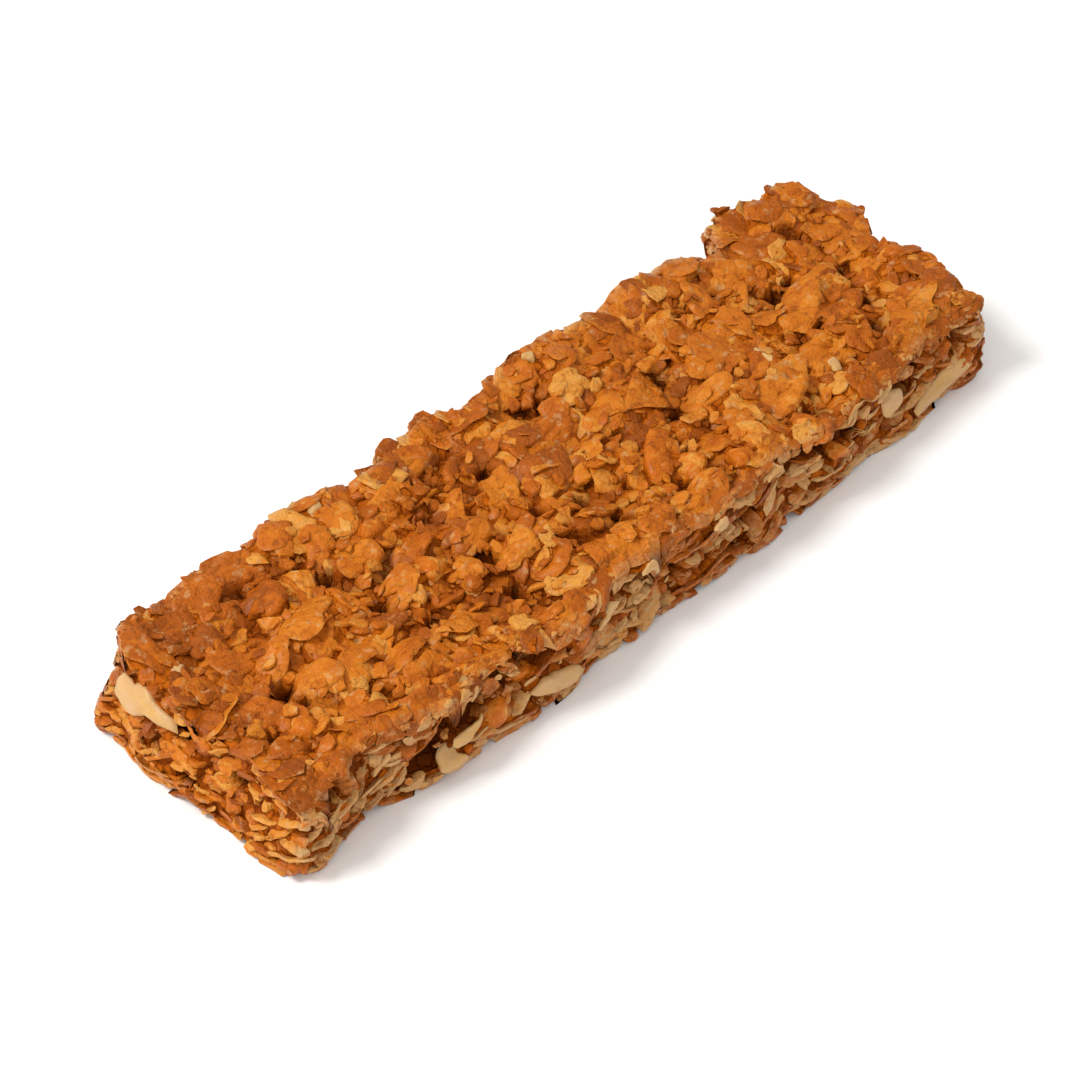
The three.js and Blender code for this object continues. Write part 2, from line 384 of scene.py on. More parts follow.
FINE = Disc(
    28, ((0.18, 1), (0.36, 1), (0.53, 1), (0.69, 1), (0.83, 1), (0.94, 1), (1, 0), (0.92, -1), (0.6, -1))
)
MIDDLING = Disc(18, ((0.24, 1), (0.46, 1), (0.66, 1), (0.83, 1), (0.95, 1), (1, 0), (0.8, -1)))
PLAIN = Disc(14, ((0.38, 1), (0.7, 1), (0.92, 1), (1, 0), (0.84, -1)))
SMALL = Disc(8, ((0.55, 1), (0.9, 1), (1, 0), (0.7, -1)))


def smooth_noise(points, seed):
    """Soft lumps from -1 to 1 over points in steps: random heights at whole steps, blended by smoothstep."""
    lattice = np.random.default_rng(seed).uniform(-1, 1, (LATTICE, LATTICE, LATTICE))
    cell = np.floor(points).astype(int)
    share = points - cell
    share = share * share * (3 - 2 * share)
    total = 0
    for corner in np.ndindex(2, 2, 2):
        weight = np.prod(np.where(corner, share, 1 - share), axis=-1)
        x, y, z = np.moveaxis((cell + corner) % LATTICE, -1, 0)
        total = total + weight * lattice[x, y, z]
    return total


def superellipse(half_long, half_wide, power, theta):
    """Distance from the middle to a superellipse in each direction."""
    shares = np.abs(np.cos(theta)) / half_long, np.abs(np.sin(theta)) / half_wide
    return (shares[0] ** power + shares[1] ** power) ** (-1 / power)


def reach(pieces, theta):
    """Distance in mm from each piece's middle to its outline, in each of its directions theta.

    The outline is a superellipse, wider towards one end. A few waves round the rim make it ragged, and
    straight breaks cut it short.
    """
    names = ("half_long", "half_wide", "squareness", "taper")
    half_long, half_wide, power, taper = (pieces[name][:, None] for name in names)
    turns = theta[:, None, :]
    waves = np.cos(WAVES[:, None] * turns + pieces["wave_turn"][:, :, None])
    waves = (pieces["wave_size"][:, :, None] * waves).sum(axis=1)
    tapered = half_wide * (1 + taper * np.cos(theta))
    ragged = superellipse(half_long, tapered, power, theta) * (1 + waves)
    facing = np.maximum(np.cos(turns - pieces["break_turn"][:, :, None]), LEAST_COSINE)
    return np.minimum(ragged, (pieces["break_reach"][:, :, None] / facing).min(axis=1))


def shapes(rng, kind, long, wide, thick, turn, toast):
    """The shapes of some pieces of one kind: arrays with a row for each piece, in mm and radians."""
    count = len(long)
    squareness = rng.uniform(*kind.squareness, count)
    break_turn = rng.uniform(0, TAU, (count, MOST_BREAKS))
    break_reach = superellipse(long[:, None] / 2, wide[:, None] / 2, squareness[:, None], break_turn)
    break_reach = break_reach * rng.uniform(*BREAK_REACH, (count, MOST_BREAKS))
    broken = np.arange(MOST_BREAKS) < rng.integers(0, kind.breaks + 1, count)[:, None]
    return {
        "half_long": long / 2,
        "half_wide": wide / 2,
        "half_thick": thick / 2,
        "turn": turn,
        "toast": toast,
        "squareness": squareness,
        "taper": kind.taper * rng.uniform(-1, 1, count),
        "wave_size": kind.ragged * rng.normal(size=(count, len(WAVES))) * WAVE_SHARES,
        "wave_turn": rng.uniform(0, TAU, (count, len(WAVES))),
        "break_turn": break_turn,
        "break_reach": np.where(broken, break_reach, FAR_OFF),
        "fullness": rng.uniform(*kind.fullness, count),
        "crease": kind.crease * rng.uniform(0, 1, count),
        "crumple": kind.crumple * rng.uniform(LEAST_OF_KIND, 1, count),
        "lumps": kind.lumps * rng.uniform(LEAST_OF_KIND, 1, count),
        "curl": kind.curl * rng.uniform(0, 1, count) ** 2,
        "curl_turn": rng.uniform(0, TAU, count),
        "tilt": rng.normal(0, kind.tilt, (count, 2)),
        "start": rng.uniform(0, TAU, count),
        "number": rng.uniform(0, NUMBERS, count),
        "middle": np.zeros((count, 3)),
        "along": np.column_stack([np.cos(turn), np.sin(turn), 0 * turn]),
        "across": np.column_stack([-np.sin(turn), np.cos(turn), 0 * turn]),
        "up": np.tile([0.0, 0.0, 1.0], (count, 1)),
        "bend": np.zeros((count, 2)),
        "proud": np.zeros(count),
        "floor": rng.uniform(*LIFT, count),
    }


def chosen(pieces, which):
    """Some of the pieces."""
    return {key: rows[which] for key, rows in pieces.items()}


def together(batches):
    """Several batches of pieces as one."""
    return {key: np.concatenate([batch[key] for batch in batches]) for key in batches[0]}


def skin(pieces, disc, outline, grow=0.0):
    """The corners of each piece's skin in mm, as pieces by corners by 3, grown outwards by a length.

    A corner lies rho of the way from the middle out to the rim. The faces part by the thickness times the
    square root of 1 - rho ** fullness, with a crease along the middle of the top face and small lumps on
    both. The whole piece is crumpled by larger lumps and bends with the square of the distance along and
    across it. Its rim curls up on one side with the cube of rho. Then it is pressed back to the bar's
    outline, and kept above its own floor.
    """
    count = len(pieces["turn"])
    theta = pieces["start"][:, None] + np.arange(disc.segments) * TAU / disc.segments
    rim = reach(pieces, theta) + grow
    rho, side = np.array(disc.rings).T
    ends = ((0, 0), (1, 1))
    p = np.pad((rho[:, None] * (rim * np.cos(theta))[:, None]).reshape(count, -1), ends)
    q = np.pad((rho[:, None] * (rim * np.sin(theta))[:, None]).reshape(count, -1), ends)
    rho = np.pad(np.repeat(rho, disc.segments), (1, 1))
    side = np.concatenate([[1], np.repeat(side, disc.segments), [-1]])
    names = ("half_thick", "fullness", "crease", "crumple", "lumps", "curl", "curl_turn", "number")
    column = {name: pieces[name][:, None] for name in names}
    section = np.sqrt(np.maximum(0, 1 - rho ** column["fullness"]))
    own = np.stack([p, q, side + 0 * p], axis=-1)
    lumps = smooth_noise(own / LUMP_SIZE + column["number"][..., None], SEED)
    crumple = smooth_noise(own * (1, 1, 0) / CRUMPLE_SIZE + column["number"][..., None], SEED + 1)
    crease = np.exp(-((q / (CREASE_SHARE * pieces["half_wide"][:, None])) ** 2)) * (1 - rho**2) * (side > 0)
    curl = np.maximum(0, np.cos(np.arctan2(q, p) - column["curl_turn"])) * rho**3
    height = side * (column["half_thick"] + grow) * section - column["crease"] * crease
    height = height + column["lumps"] * lumps * section + column["crumple"] * crumple + column["curl"] * curl
    height = height + pieces["bend"][:, :1] * p**2 + pieces["bend"][:, 1:] * q**2
    corners = pieces["middle"][:, None] + p[..., None] * pieces["along"][:, None]
    corners = corners + q[..., None] * pieces["across"][:, None] + height[..., None] * pieces["up"][:, None]
    corners = outline.press(corners, pieces["proud"][:, None] + grow)
    corners[..., 2] = np.maximum(corners[..., 2], pieces["floor"][:, None])
    return corners


def skin_faces(disc):
    """A disc's faces as corner numbers: a fan on the top pole, quads between rings, a fan underneath."""
    segments, rings = disc.segments, len(disc.rings)
    here = np.arange(segments)
    after = (here + 1) % segments
    base = 1 + (rings - 1) * segments
    fan = [[0, 1 + a, 1 + b] for a, b in zip(here, after)]
    under = [[1 + rings * segments, base + b, base + a] for a, b in zip(here, after)]
    quads = []
    for ring in range(rings - 1):
        inner, outer = 1 + ring * segments, 1 + (ring + 1) * segments
        quads += [[inner + a, outer + a, outer + b, inner + b] for a, b in zip(here, after)]
    return fan, quads, under


# ---------------------------------------------------------------- laying the pieces


SAME_PLACE = 0.001  # mm: corners nearer to each other than this are one
BELL_END = 2.5  # where the bell of a blur is cut off, as a share of its width


def merged_solid(node):
    """The corners in mm, outward normals and faces of a node's mesh, its loose triangles joined in a copy."""
    joined = bmesh.new()
    joined.from_mesh(node.data)
    bmesh.ops.remove_doubles(joined, verts=joined.verts, dist=SAME_PLACE * MM)
    mesh = bpy.data.meshes.new("joined")
    joined.to_mesh(mesh)
    joined.free()
    corners, normals = np.empty(3 * len(mesh.vertices)), np.empty(3 * len(mesh.vertices))
    mesh.vertices.foreach_get("co", corners)
    mesh.vertex_normals.foreach_get("vector", normals)
    faces = [tuple(face.vertices) for face in mesh.polygons]
    bpy.data.meshes.remove(mesh)
    return corners.reshape(-1, 3) / MM, normals.reshape(-1, 3), faces


def blurred(table, cells):
    """A table blurred both ways by a bell of some cells, with its edge carried on outwards."""
    width = math.ceil(BELL_END * cells)
    bell = np.exp(-((np.arange(-width, width + 1) / cells) ** 2))
    bell /= bell.sum()
    for axis in (0, 1):
        padding = [(0, 0), (0, 0)]
        padding[axis] = (width, width)
        padded = np.pad(table, padding, mode="edge")
        table = np.apply_along_axis(np.convolve, axis, padded, bell, mode="valid")
    return table


class Outline:
    """How far out the pressed bar stands on its five free sides, without the detail of single oats."""

    STEP = 0.6  # of the maps, in mm
    LAST = 1.001  # steps from the size of a map down to the last place where it can be blended
    # The lowest and highest x, y and z between which the maps are measured. All rays start inside the solid.
    WITHIN = ((-48.8, 46.8), (-12.4, 13.2), (0.5, 7.4))
    STARTS = (39.0, 0.0, 4.0)  # distance from the middle of the bar at which the rays along x, y and z start
    NOTCH = 9.2  # the furthest y that the notch in the back wall leaves whole
    CROWNS = (0.25, 0.4, 0.4, 0.9, 0.0)  # mm from each side's mean surface out to the crowns of its oats
    # The edges that are rounded: the sides that meet there and the radius in mm.
    EDGES = ((TOP, FRONT, 2.2), (NEAR, FRONT, 1.0), (NEAR, BACK, 3.0), (FAR, FRONT, 1.4), (FAR, BACK, 3.4))
    FOOT = 3.0  # mm: below this height the walls are pressed flush, the more the lower
    LEAST_FOOT = 0.1  # share of their unevenness that they keep at the very foot
    BLUR = 2.0  # cells
    GIVES = (0.5, 0.12, 0.12, 0.12, 0.12)  # share of what stands out past each side that pressing leaves
    UNEVEN = 0.45  # mm: how unevenly it is pressed
    UNEVEN_SIZE = 1.8  # mm: the size of the lumps that this leaves
    FREE = 0.5  # mm by which pieces may stand out past the top before they are pressed
    DIRECTIONS = 12  # in which a piece's rim is looked at when it is drawn in
    # Each side: the axis looked along, the sign of its direction and the two axes of its map.
    SIDES = ((2, 1, 0, 1), (1, -1, 0, 2), (1, 1, 0, 2), (0, -1, 1, 2), (0, 1, 1, 2))

    def __init__(self, tree):
        self.axes = [np.arange(low, high, self.STEP) for low, high in self.WITHIN]
        self.maps = []
        for (axis, sign, first, second), crown in zip(self.SIDES, self.CROWNS):
            reaches = np.empty((len(self.axes[first]), len(self.axes[second])))
            for i, j in np.ndindex(reaches.shape):
                start = [0.0, 0.0, 0.0]
                start[first], start[second] = self.axes[first][i], self.axes[second][j]
                start[axis] = sign * self.STARTS[axis]
                if axis == 2:
                    start[1] = min(start[1], self.NOTCH)
                way = Vector([sign * (axis == k) for k in range(3)])
                reaches[i, j] = sign * start[axis] + (tree.ray_cast(start, way)[3] or 0.0)
            self.maps.append(blurred(reaches, self.BLUR) + crown)

    def reach(self, side, points):
        """How far out one side stands at the places of some points, blended between the steps of its map."""
        axis, _, first, second = self.SIDES[side]
        table = self.maps[side]
        u = np.clip((points[..., first] - self.axes[first][0]) / self.STEP, 0, table.shape[0] - self.LAST)
        v = np.clip((points[..., second] - self.axes[second][0]) / self.STEP, 0, table.shape[1] - self.LAST)
        i, j = np.floor(u).astype(int), np.floor(v).astype(int)
        u, v = u - i, v - j
        near = table[i, j] * (1 - v) + table[i, j + 1] * v
        return near * (1 - u) + (table[i + 1, j] * (1 - v) + table[i + 1, j + 1] * v) * u

    def press(self, points, proud):
        """Presses what stands out past the outline by more than proud back to it, all but a share."""
        points = points.copy()
        proud = proud + self.UNEVEN * smooth_noise(points / self.UNEVEN_SIZE, PRESSED_LUMPS)
        for side in (*WALLS, TOP):
            axis, sign = self.SIDES[side][:2]
            foot = 1
            allowed = np.maximum(proud, self.FREE)
            if side != TOP:
                foot = np.clip(points[..., 2] / self.FOOT, self.LEAST_FOOT, 1)
                allowed = proud * foot
            over = sign * points[..., axis] - self.reach(side, points) - allowed
            points[..., axis] -= sign * (1 - self.GIVES[side] * foot) * np.maximum(0, over)
        for first, second, radius in self.EDGES:
            self.round_edge(points, (first, second), radius, proud)
        return points

    def round_edge(self, points, sides, radius, proud):
        """Draws what stands out past the round edge between two sides back towards the edge's axis."""
        beyond = []
        for side in sides:
            axis, sign = self.SIDES[side][:2]
            beyond.append(np.maximum(0, sign * points[..., axis] - self.reach(side, points) + radius))
        away = np.hypot(*beyond) * (np.minimum(*beyond) > 0)
        over = np.maximum(0, away - radius - np.maximum(proud, 0)) / np.maximum(away, radius)
        for side, distance in zip(sides, beyond):
            axis, sign = self.SIDES[side][:2]
            points[..., axis] -= sign * over * distance

    def draw_in(self, pieces, overhang):
        """Moves pieces in until their rims stand out past the walls by no more than the overhang."""
        theta = np.zeros((len(pieces["turn"]), 1)) + np.arange(self.DIRECTIONS) * TAU / self.DIRECTIONS
        cosine, sine = np.cos(theta)[..., None], np.sin(theta)[..., None]
        rim = cosine * pieces["along"][:, None] + sine * pieces["across"][:, None]
        rim = reach(pieces, theta)[..., None] * rim
        for side in WALLS:
            axis, sign = self.SIDES[side][:2]
            points = pieces["middle"][:, None] + rim
            over = sign * points[..., axis] - self.reach(side, points) - pieces["proud"][:, None] - overhang
            pieces["middle"][:, axis] -= sign * np.maximum(0, over.max(axis=1))

    def depth(self, points, sides=(TOP, *WALLS)):
        """How deep in the bar points lie, in mm: the least distance to any of the sides."""
        depths = []
        for side in sides:
            axis, sign = self.SIDES[side][:2]
            depths.append(self.reach(side, points) - sign * points[..., axis])
        return np.minimum.reduce(depths)

    def on_wall(self, wall, along, height):
        """Points on the walls from arrays of walls, places along them and heights, and the way each faces."""
        points, facing = np.zeros((len(along), 3)), np.zeros((len(along), 3))
        points[:, 2] = height
        for side in WALLS:
            here = wall == side
            axis, sign, first, _ = self.SIDES[side]
            points[here, first] = along[here]
            points[here, axis] = sign * self.reach(side, points[here])
            facing[here, axis] = sign
        return points, facing


class Slab:
    """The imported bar, its smaller core, and the bed of heights on which the pieces are laid."""

    STEP = 0.3  # of the bed's grid, in mm
    OFF = -99.0  # height of the bed where there is no bar
    FLOOR_DEPTH = 0.35  # from the underside to the core, in mm
    SKIRT = (0.8, 2.8)  # mm: heights between which the core widens towards its foot
    SKIRT_DEPTH = -0.5  # mm from the walls in to the core's foot
    SPREAD = 1.35  # how far a piece may spread from its middle, as a share of its larger half
    LEAST_CELLS = 4  # of the bed that a piece has to lie on
    BENDING_CELLS = 30  # on which it also bends
    STEEPEST = 0.42  # slope of a laid piece
    MOST_BEND = 0.03  # per mm
    CONTACT = 50  # percentile of the heights under a piece that it rests on
    RAISED = 0.7  # share of its half thickness by which its middle lies higher
    SHORT = 0.25  # mm by which the pieces on the top fall short of the walls

    def __init__(self, node, top_depth, side_depth):
        corners, normals, self.faces = merged_solid(node)
        self.outline = Outline(BVHTree.FromPolygons(corners.tolist(), self.faces))
        rise = np.where(normals[:, 2] > 0, top_depth, self.FLOOR_DEPTH)
        inwards = np.interp(corners[:, 2], self.SKIRT, (self.SKIRT_DEPTH, side_depth))
        self.core = corners - normals * np.column_stack([inwards, inwards, rise])
        core_tree = BVHTree.FromPolygons(self.core.tolist(), self.faces)
        self.xs = np.arange(BAR_LOW[0], BAR_HIGH[0], self.STEP)
        self.ys = np.arange(BAR_LOW[1], BAR_HIGH[1], self.STEP)
        landings = [[core_tree.ray_cast((x, y, FAR_OFF), (0, 0, -1))[0] for y in self.ys] for x in self.xs]
        self.heights = np.array([[self.OFF if spot is None else spot.z for spot in row] for row in landings])
        self.laid = []

    def under(self, pieces, i):
        """The bed's cells near piece i, their places along and across it, and how far out to its rim."""
        x, y = pieces["middle"][i, :2]
        size = self.SPREAD * max(pieces["half_long"][i], pieces["half_wide"][i])
        columns = slice(*np.searchsorted(self.xs, (x - size, x + size)))
        rows = slice(*np.searchsorted(self.ys, (y - size, y + size)))
        dx, dy = np.meshgrid(self.xs[columns] - x, self.ys[rows] - y, indexing="ij")
        cosine, sine = math.cos(pieces["turn"][i]), math.sin(pieces["turn"][i])
        p, q = dx * cosine + dy * sine, dy * cosine - dx * sine
        one = chosen(pieces, slice(i, i + 1))
        rim = reach(one, np.arctan2(q, p).reshape(1, -1)).reshape(p.shape)
        return (columns, rows), p, q, np.hypot(p, q) / rim

    def settle(self, pieces, i, sunk, least_held=0.5, covers=True):
        """Lays piece i on the bed, tilted and bent to what lies under it. False if too little of it is held.

        Its top face lies at least the sunk depth below the outline. The next piece lies on it if it covers.
        """
        place, p, q, rho = self.under(pieces, i)
        heights = self.heights[place]
        held = (rho < 1) & (heights > self.OFF)
        if held.sum() < max(self.LEAST_CELLS, least_held * (rho < 1).sum()):
            return False
        along, across, level = p[held], q[held], heights[held]
        plane = np.column_stack([np.ones_like(along), along, across])
        fit = np.linalg.lstsq(plane, level, rcond=None)[0]
        slope = np.clip(fit[1:] + pieces["tilt"][i], -self.STEEPEST, self.STEEPEST)
        level = level - along * slope[0] - across * slope[1]
        bend = np.zeros(2)
        if len(level) > self.BENDING_CELLS:
            squares = np.column_stack([along**2, across**2])
            bend = np.linalg.lstsq(squares, level - level.mean(), rcond=None)[0]
            bend = np.clip(bend, -self.MOST_BEND, self.MOST_BEND)
        level = level - bend[0] * along**2 - bend[1] * across**2
        half = pieces["half_thick"][i]
        ceiling = self.outline.reach(TOP, pieces["middle"][i]) - sunk - half
        cosine, sine = math.cos(pieces["turn"][i]), math.sin(pieces["turn"][i])
        pieces["middle"][i, 2] = min(np.percentile(level, self.CONTACT) + self.RAISED * half, ceiling)
        pieces["along"][i] = (cosine, sine, slope[0])
        pieces["across"][i] = (-sine, cosine, slope[1])
        pieces["bend"][i] = bend
        pieces["proud"][i] = -self.SHORT
        if covers:
            self.cover(pieces, i)
        return True

    def cover(self, pieces, i):
        """Raises the bed to the top face of piece i."""
        place, p, q, rho = self.under(pieces, i)
        bend = pieces["bend"][i]
        middle = pieces["middle"][i, 2] + p * pieces["along"][i, 2] + q * pieces["across"][i, 2]
        section = np.sqrt(np.maximum(0, 1 - rho ** pieces["fullness"][i]))
        top = middle + bend[0] * p**2 + bend[1] * q**2 + pieces["half_thick"][i] * section
        self.heights[place] = np.where(rho < 1, np.maximum(self.heights[place], top), self.heights[place])

    def blocks(self, pieces, i, share):
        """Whether the rim of piece i would come nearer to a crevice's middle than a share of its radius."""
        x, y = (np.array(CREVICES)[:, :2] + SLAB_MIDDLE - pieces["middle"][i, :2]).T
        cosine, sine = math.cos(pieces["turn"][i]), math.sin(pieces["turn"][i])
        p, q = x * cosine + y * sine, y * cosine - x * sine
        rim = reach(chosen(pieces, slice(i, i + 1)), np.arctan2(q, p)[None])[0]
        return bool(np.any(np.hypot(p, q) - np.array(CREVICES)[:, 2] * share < rim))


def scorch(points):
    """How much the oven has toasted each place: the sum of the scorches, each a bell."""
    toast = 0
    for x, y, radius, strength in SCORCHES:
        away = np.linalg.norm(points[:, :2] - SLAB_MIDDLE - (x, y), axis=1)
        toast = toast + strength * np.exp(-((away / radius) ** 2))
    return toast


def even_places(rng, gap, margin):
    """Places (x, y) all over the bar, one at random in each square of a grid."""
    along = np.arange(BAR_LOW[0] + margin, BAR_HIGH[0] - margin, gap)
    across = np.arange(BAR_LOW[1] + margin, BAR_HIGH[1] - margin, gap)
    places = np.stack(np.meshgrid(along, across), axis=-1).reshape(-1, 2)
    return places + rng.uniform(0, gap, places.shape)


ROUND_CORNER = 2.6  # mm from the bar's box to the ends of its walls
JITTER = 0.4  # how far a place in a row round the walls strays, as a share of the spacing
ALONG_SLIVER = (-0.33, 0, 0.33)  # places along a sliver that are kept free, as shares of its length
NUT_ROOM = 0.5  # share of a sliver's width that is kept free of the middles of other pieces
NUT_SHOWN = 0.25  # and share that isn't covered by them
FREE_BESIDE = 0.5  # how near a piece's rim may come to a free place, as a share of its radius
FREE_ABOVE = 0.6  # and how near its face may


def kept_free(outline, nut_share):
    """Points on the walls to be left free, and how far round each: the holes and places along each sliver."""
    places = list(HOLES)
    for wall, along, height, long, wide, _, roll, _ in WALL_NUTS:
        for share in ALONG_SLIVER:
            rise = share * long * math.sin(math.radians(roll))
            places.append((wall, along + share * long, height + rise, nut_share * wide))
    wall, along, height, radius = np.array(places).T
    return outline.on_wall(wall, along, height)[0], radius


def wall_places(rng, outline, count, lowest, highest, room=0.4):
    """Places all round the four walls, evenly spaced but for a jitter. Also the way each faces.

    They lie at random between two heights, with some room between them and what is kept free.
    """
    size = BAR_HIGH - BAR_LOW - 2 * ROUND_CORNER
    lengths = size[[0, 0, 1, 1]]
    ends = np.cumsum(lengths)
    steps = np.arange(count) + rng.uniform(0, 1) + rng.uniform(-JITTER, JITTER, count)
    at = steps * ends[-1] / count % ends[-1]
    wall = np.searchsorted(ends, at)
    along = at - ends[wall] + lengths[wall] / 2
    points, facing = outline.on_wall(wall + FRONT, along, rng.uniform(lowest, highest, count))
    free, radius = kept_free(outline, NUT_ROOM)
    clear = np.all(np.linalg.norm(points[:, None] - free, axis=-1) > radius + room, axis=1)
    return points[clear], facing[clear]


def covers_free_place(outline, pieces):
    """Whether each piece would close one of the holes in the walls or hide one of the slivers."""
    points, radius = kept_free(outline, NUT_SHOWN)
    away = points[None] - pieces["middle"][:, None]
    p, q, rise = (np.einsum("ijk,ik->ij", away, pieces[way]) for way in ("along", "across", "up"))
    beside = np.hypot(p, q) < reach(pieces, np.arctan2(q, p)) + FREE_BESIDE * radius
    level = np.abs(rise) < FREE_ABOVE * radius + pieces["half_thick"][:, None]
    return np.any(beside & level, axis=1)


def stand_on_wall(pieces, places, facing, roll, tip):
    """Turns pieces to show their faces at a wall: rolled from level, and tipped up from straight outwards."""
    level = np.cross([0.0, 0.0, 1.0], facing)
    roll, tip = roll[:, None], tip[:, None]
    up = facing * np.cos(tip) + np.array([0.0, 0.0, 1.0]) * np.sin(tip)
    rise = np.cross(up, level)
    pieces["along"] = level * np.cos(roll) + rise * np.sin(roll)
    pieces["across"] = rise * np.cos(roll) - level * np.sin(roll)
    pieces["up"] = up
    pieces["middle"] = places


LARGEST = 1.12  # of the oats, as a share of the size of a whole one
SMALL_MORE_OFTEN = 1.2  # 1 would make all sizes as frequent
WHOLE = 0.9  # oats smaller than this share are broken ones


def some_oats(rng, count, sizes, toast, smallest=0.4):
    """The shapes of some oats turned every way. The larger ones are whole, and the others are broken."""
    scale = smallest + (LARGEST - smallest) * rng.uniform(0, 1, count) ** SMALL_MORE_OFTEN
    long = sizes.oat_long / MM * scale
    wide = sizes.oat_wide / MM * scale * rng.uniform(0.72, 1.05, count)
    thick = sizes.oat_thick / MM * rng.uniform(0.75, 1.15, count)
    turn = rng.uniform(0, TAU, count)
    pieces = shapes(rng, OAT, long, wide, thick, turn, toast)
    broken = shapes(rng, BROKEN_OAT, long, wide, thick, turn, toast)
    small = np.flatnonzero(scale < WHOLE)
    for key, rows in pieces.items():
        rows[small] = broken[key][small]
    return pieces


def mixed_toast(rng, mean, spread, count, more=0.0):
    """How toasted each of some pieces is, from 0 to 1."""
    return np.clip(rng.normal(mean, spread, count) + more, 0, 1)


UNDER_GAP = 0.68  # spacing of the oats on the underside, as a share of the usual one
UNDER_RISE = 0.8  # share of their half thickness by which their middles lie above their lowest parts
UNDER_PROBE = (0, 0, 2.0)  # mm: above the underside, where the outline is looked at
UNDER_MARGIN = 1.2  # mm from the outline in to the middles of the outermost


def lay_underside(slab, sizes):
    """Oats pressed flat against the baking sheet."""
    rng = np.random.default_rng(SEED + 1)
    places = even_places(rng, UNDER_GAP * sizes.oat_gap / MM, margin=0.8)
    oats = some_oats(rng, len(places), sizes, mixed_toast(rng, 0.5, 0.16, len(places)))
    oats["middle"] = np.column_stack([places, oats["floor"] + UNDER_RISE * oats["half_thick"]])
    oats["up"] = -oats["up"]
    oats["across"] = -oats["across"]
    oats["curl"] *= 0
    oats["proud"] = rng.uniform(-0.5, 0.1, len(places))
    return chosen(oats, slab.outline.depth(oats["middle"] * (1, 1, 0) + UNDER_PROBE) > UNDER_MARGIN)


FIRST_LAYER = 0.4  # mm: height of the lowest layer of oats in the walls
LAST_LAYER = 1.2  # mm from the top of the bar's box down to the last one
LAYER_SPREAD = 0.7  # share of the height of a layer over which its oats are spread
WALL_GAP = 0.75  # spacing of the oats in the walls, as a share of the usual one
FOOT_GAP = 0.55  # and of those in the foot row
FOOT_ROW = 1.4  # mm: the oats below this height reach the outline all the way round
WALL_THICKNESS = 0.8  # thickness of the oats in the walls, as a share of the usual one
DRY_SIZE = 4.5  # mm: size of the patches in the walls where the oats show a pale, dry inside
DRY_OVER = 0.05  # lumps higher than this, from -1 to 1, are such patches
DRY_BELOW = 1.7  # mm from the top down to those patches
SCORCHED_WALLS = 0.8  # share of the oven's scorches that the walls show
RECESS = 1.2  # mm: how deep the walls are broken away in places
RECESS_SIZE = 3.0  # mm: the size of those places
RECESS_OVER = 0.1  # lumps higher than this are such places
SOUND_END = 0.3  # share of that depth at the near end
EMBEDDED = (0.45, 0.9)  # how far in an oat's middle lies, as a share of the way from there to its rim
SHINGLED = 0.22  # slope at which the oats in the walls climb to the right
ASKEW = 0.28  # slope by which they stray from that
OVERHANG = 1.2  # mm by which their rims may stand out past the walls


def lay_sides(slab, sizes):
    """Layers of oats that lie flat in the slab and show their broken edges at its four sides."""
    rng = np.random.default_rng(SEED + 2)
    layer = sizes.layer / MM
    batches = []
    round_trip = 2 * (BAR_HIGH - BAR_LOW)[:2].sum()
    for height in np.arange(FIRST_LAYER, BAR_HIGH[2] - LAST_LAYER, layer):
        gap = sizes.oat_gap / MM * (WALL_GAP if height > FOOT_ROW else FOOT_GAP)
        highest = height + LAYER_SPREAD * layer
        places, facing = wall_places(rng, slab.outline, int(round_trip / gap), height, highest)
        count = len(places)
        patches = smooth_noise(places / DRY_SIZE, DRY_LUMPS) + rng.normal(0, 0.25, count)
        dry = (patches > DRY_OVER) & (places[:, 2] < BAR_HIGH[2] - DRY_BELOW)
        toast = np.where(dry, rng.normal(0.1, 0.1, count), rng.normal(0.7, 0.16, count))
        toast = np.clip(toast + SCORCHED_WALLS * scorch(places), 0, 1)
        oats = some_oats(rng, count, sizes, toast, smallest=0.35)
        oats["half_thick"] *= WALL_THICKNESS
        oats["proud"] = rng.uniform(-0.1, 0.3, count)
        if height > FOOT_ROW:
            recess = np.maximum(0, smooth_noise(places / RECESS_SIZE, RECESS_LUMPS) - RECESS_OVER)
            recess = np.where(facing[:, 0] < 0, SOUND_END * recess, recess)
            oats["proud"] = rng.uniform(-0.5, 0.4, count) - RECESS * recess
        looking = np.arctan2(facing[:, 1], facing[:, 0]) - oats["turn"]
        back = oats["proud"] - reach(oats, looking[:, None])[:, 0] * rng.uniform(*EMBEDDED, count)
        oats["middle"] = places + facing * back[:, None]
        level = np.cross([0.0, 0.0, 1.0], facing)
        for way in ("along", "across"):
            climb = SHINGLED * (oats[way] * level).sum(axis=1) if height > FOOT_ROW else 0
            oats[way][:, 2] = climb + rng.normal(0, ASKEW, count)
        slab.outline.draw_in(oats, OVERHANG)
        oats = chosen(oats, ~covers_free_place(slab.outline, oats))
        for i in range(len(oats["turn"])):
            slab.cover(oats, i)
        batches.append(oats)
    return together(batches)


SCRAPS = 60  # oats and scraps that lie flat to the walls, before those at free places are left out
SCRAP_LOWEST = 1.3  # mm from the underside up to the middles of scraps
SCRAP_HIGHEST = 1.8  # mm from the top of the bar's box down to the middles of scraps and crisps in the walls
SCRAP_LONG = 0.9  # length of a scrap as a share of an oat's
SCRAP_WIDE = 0.4  # and its width


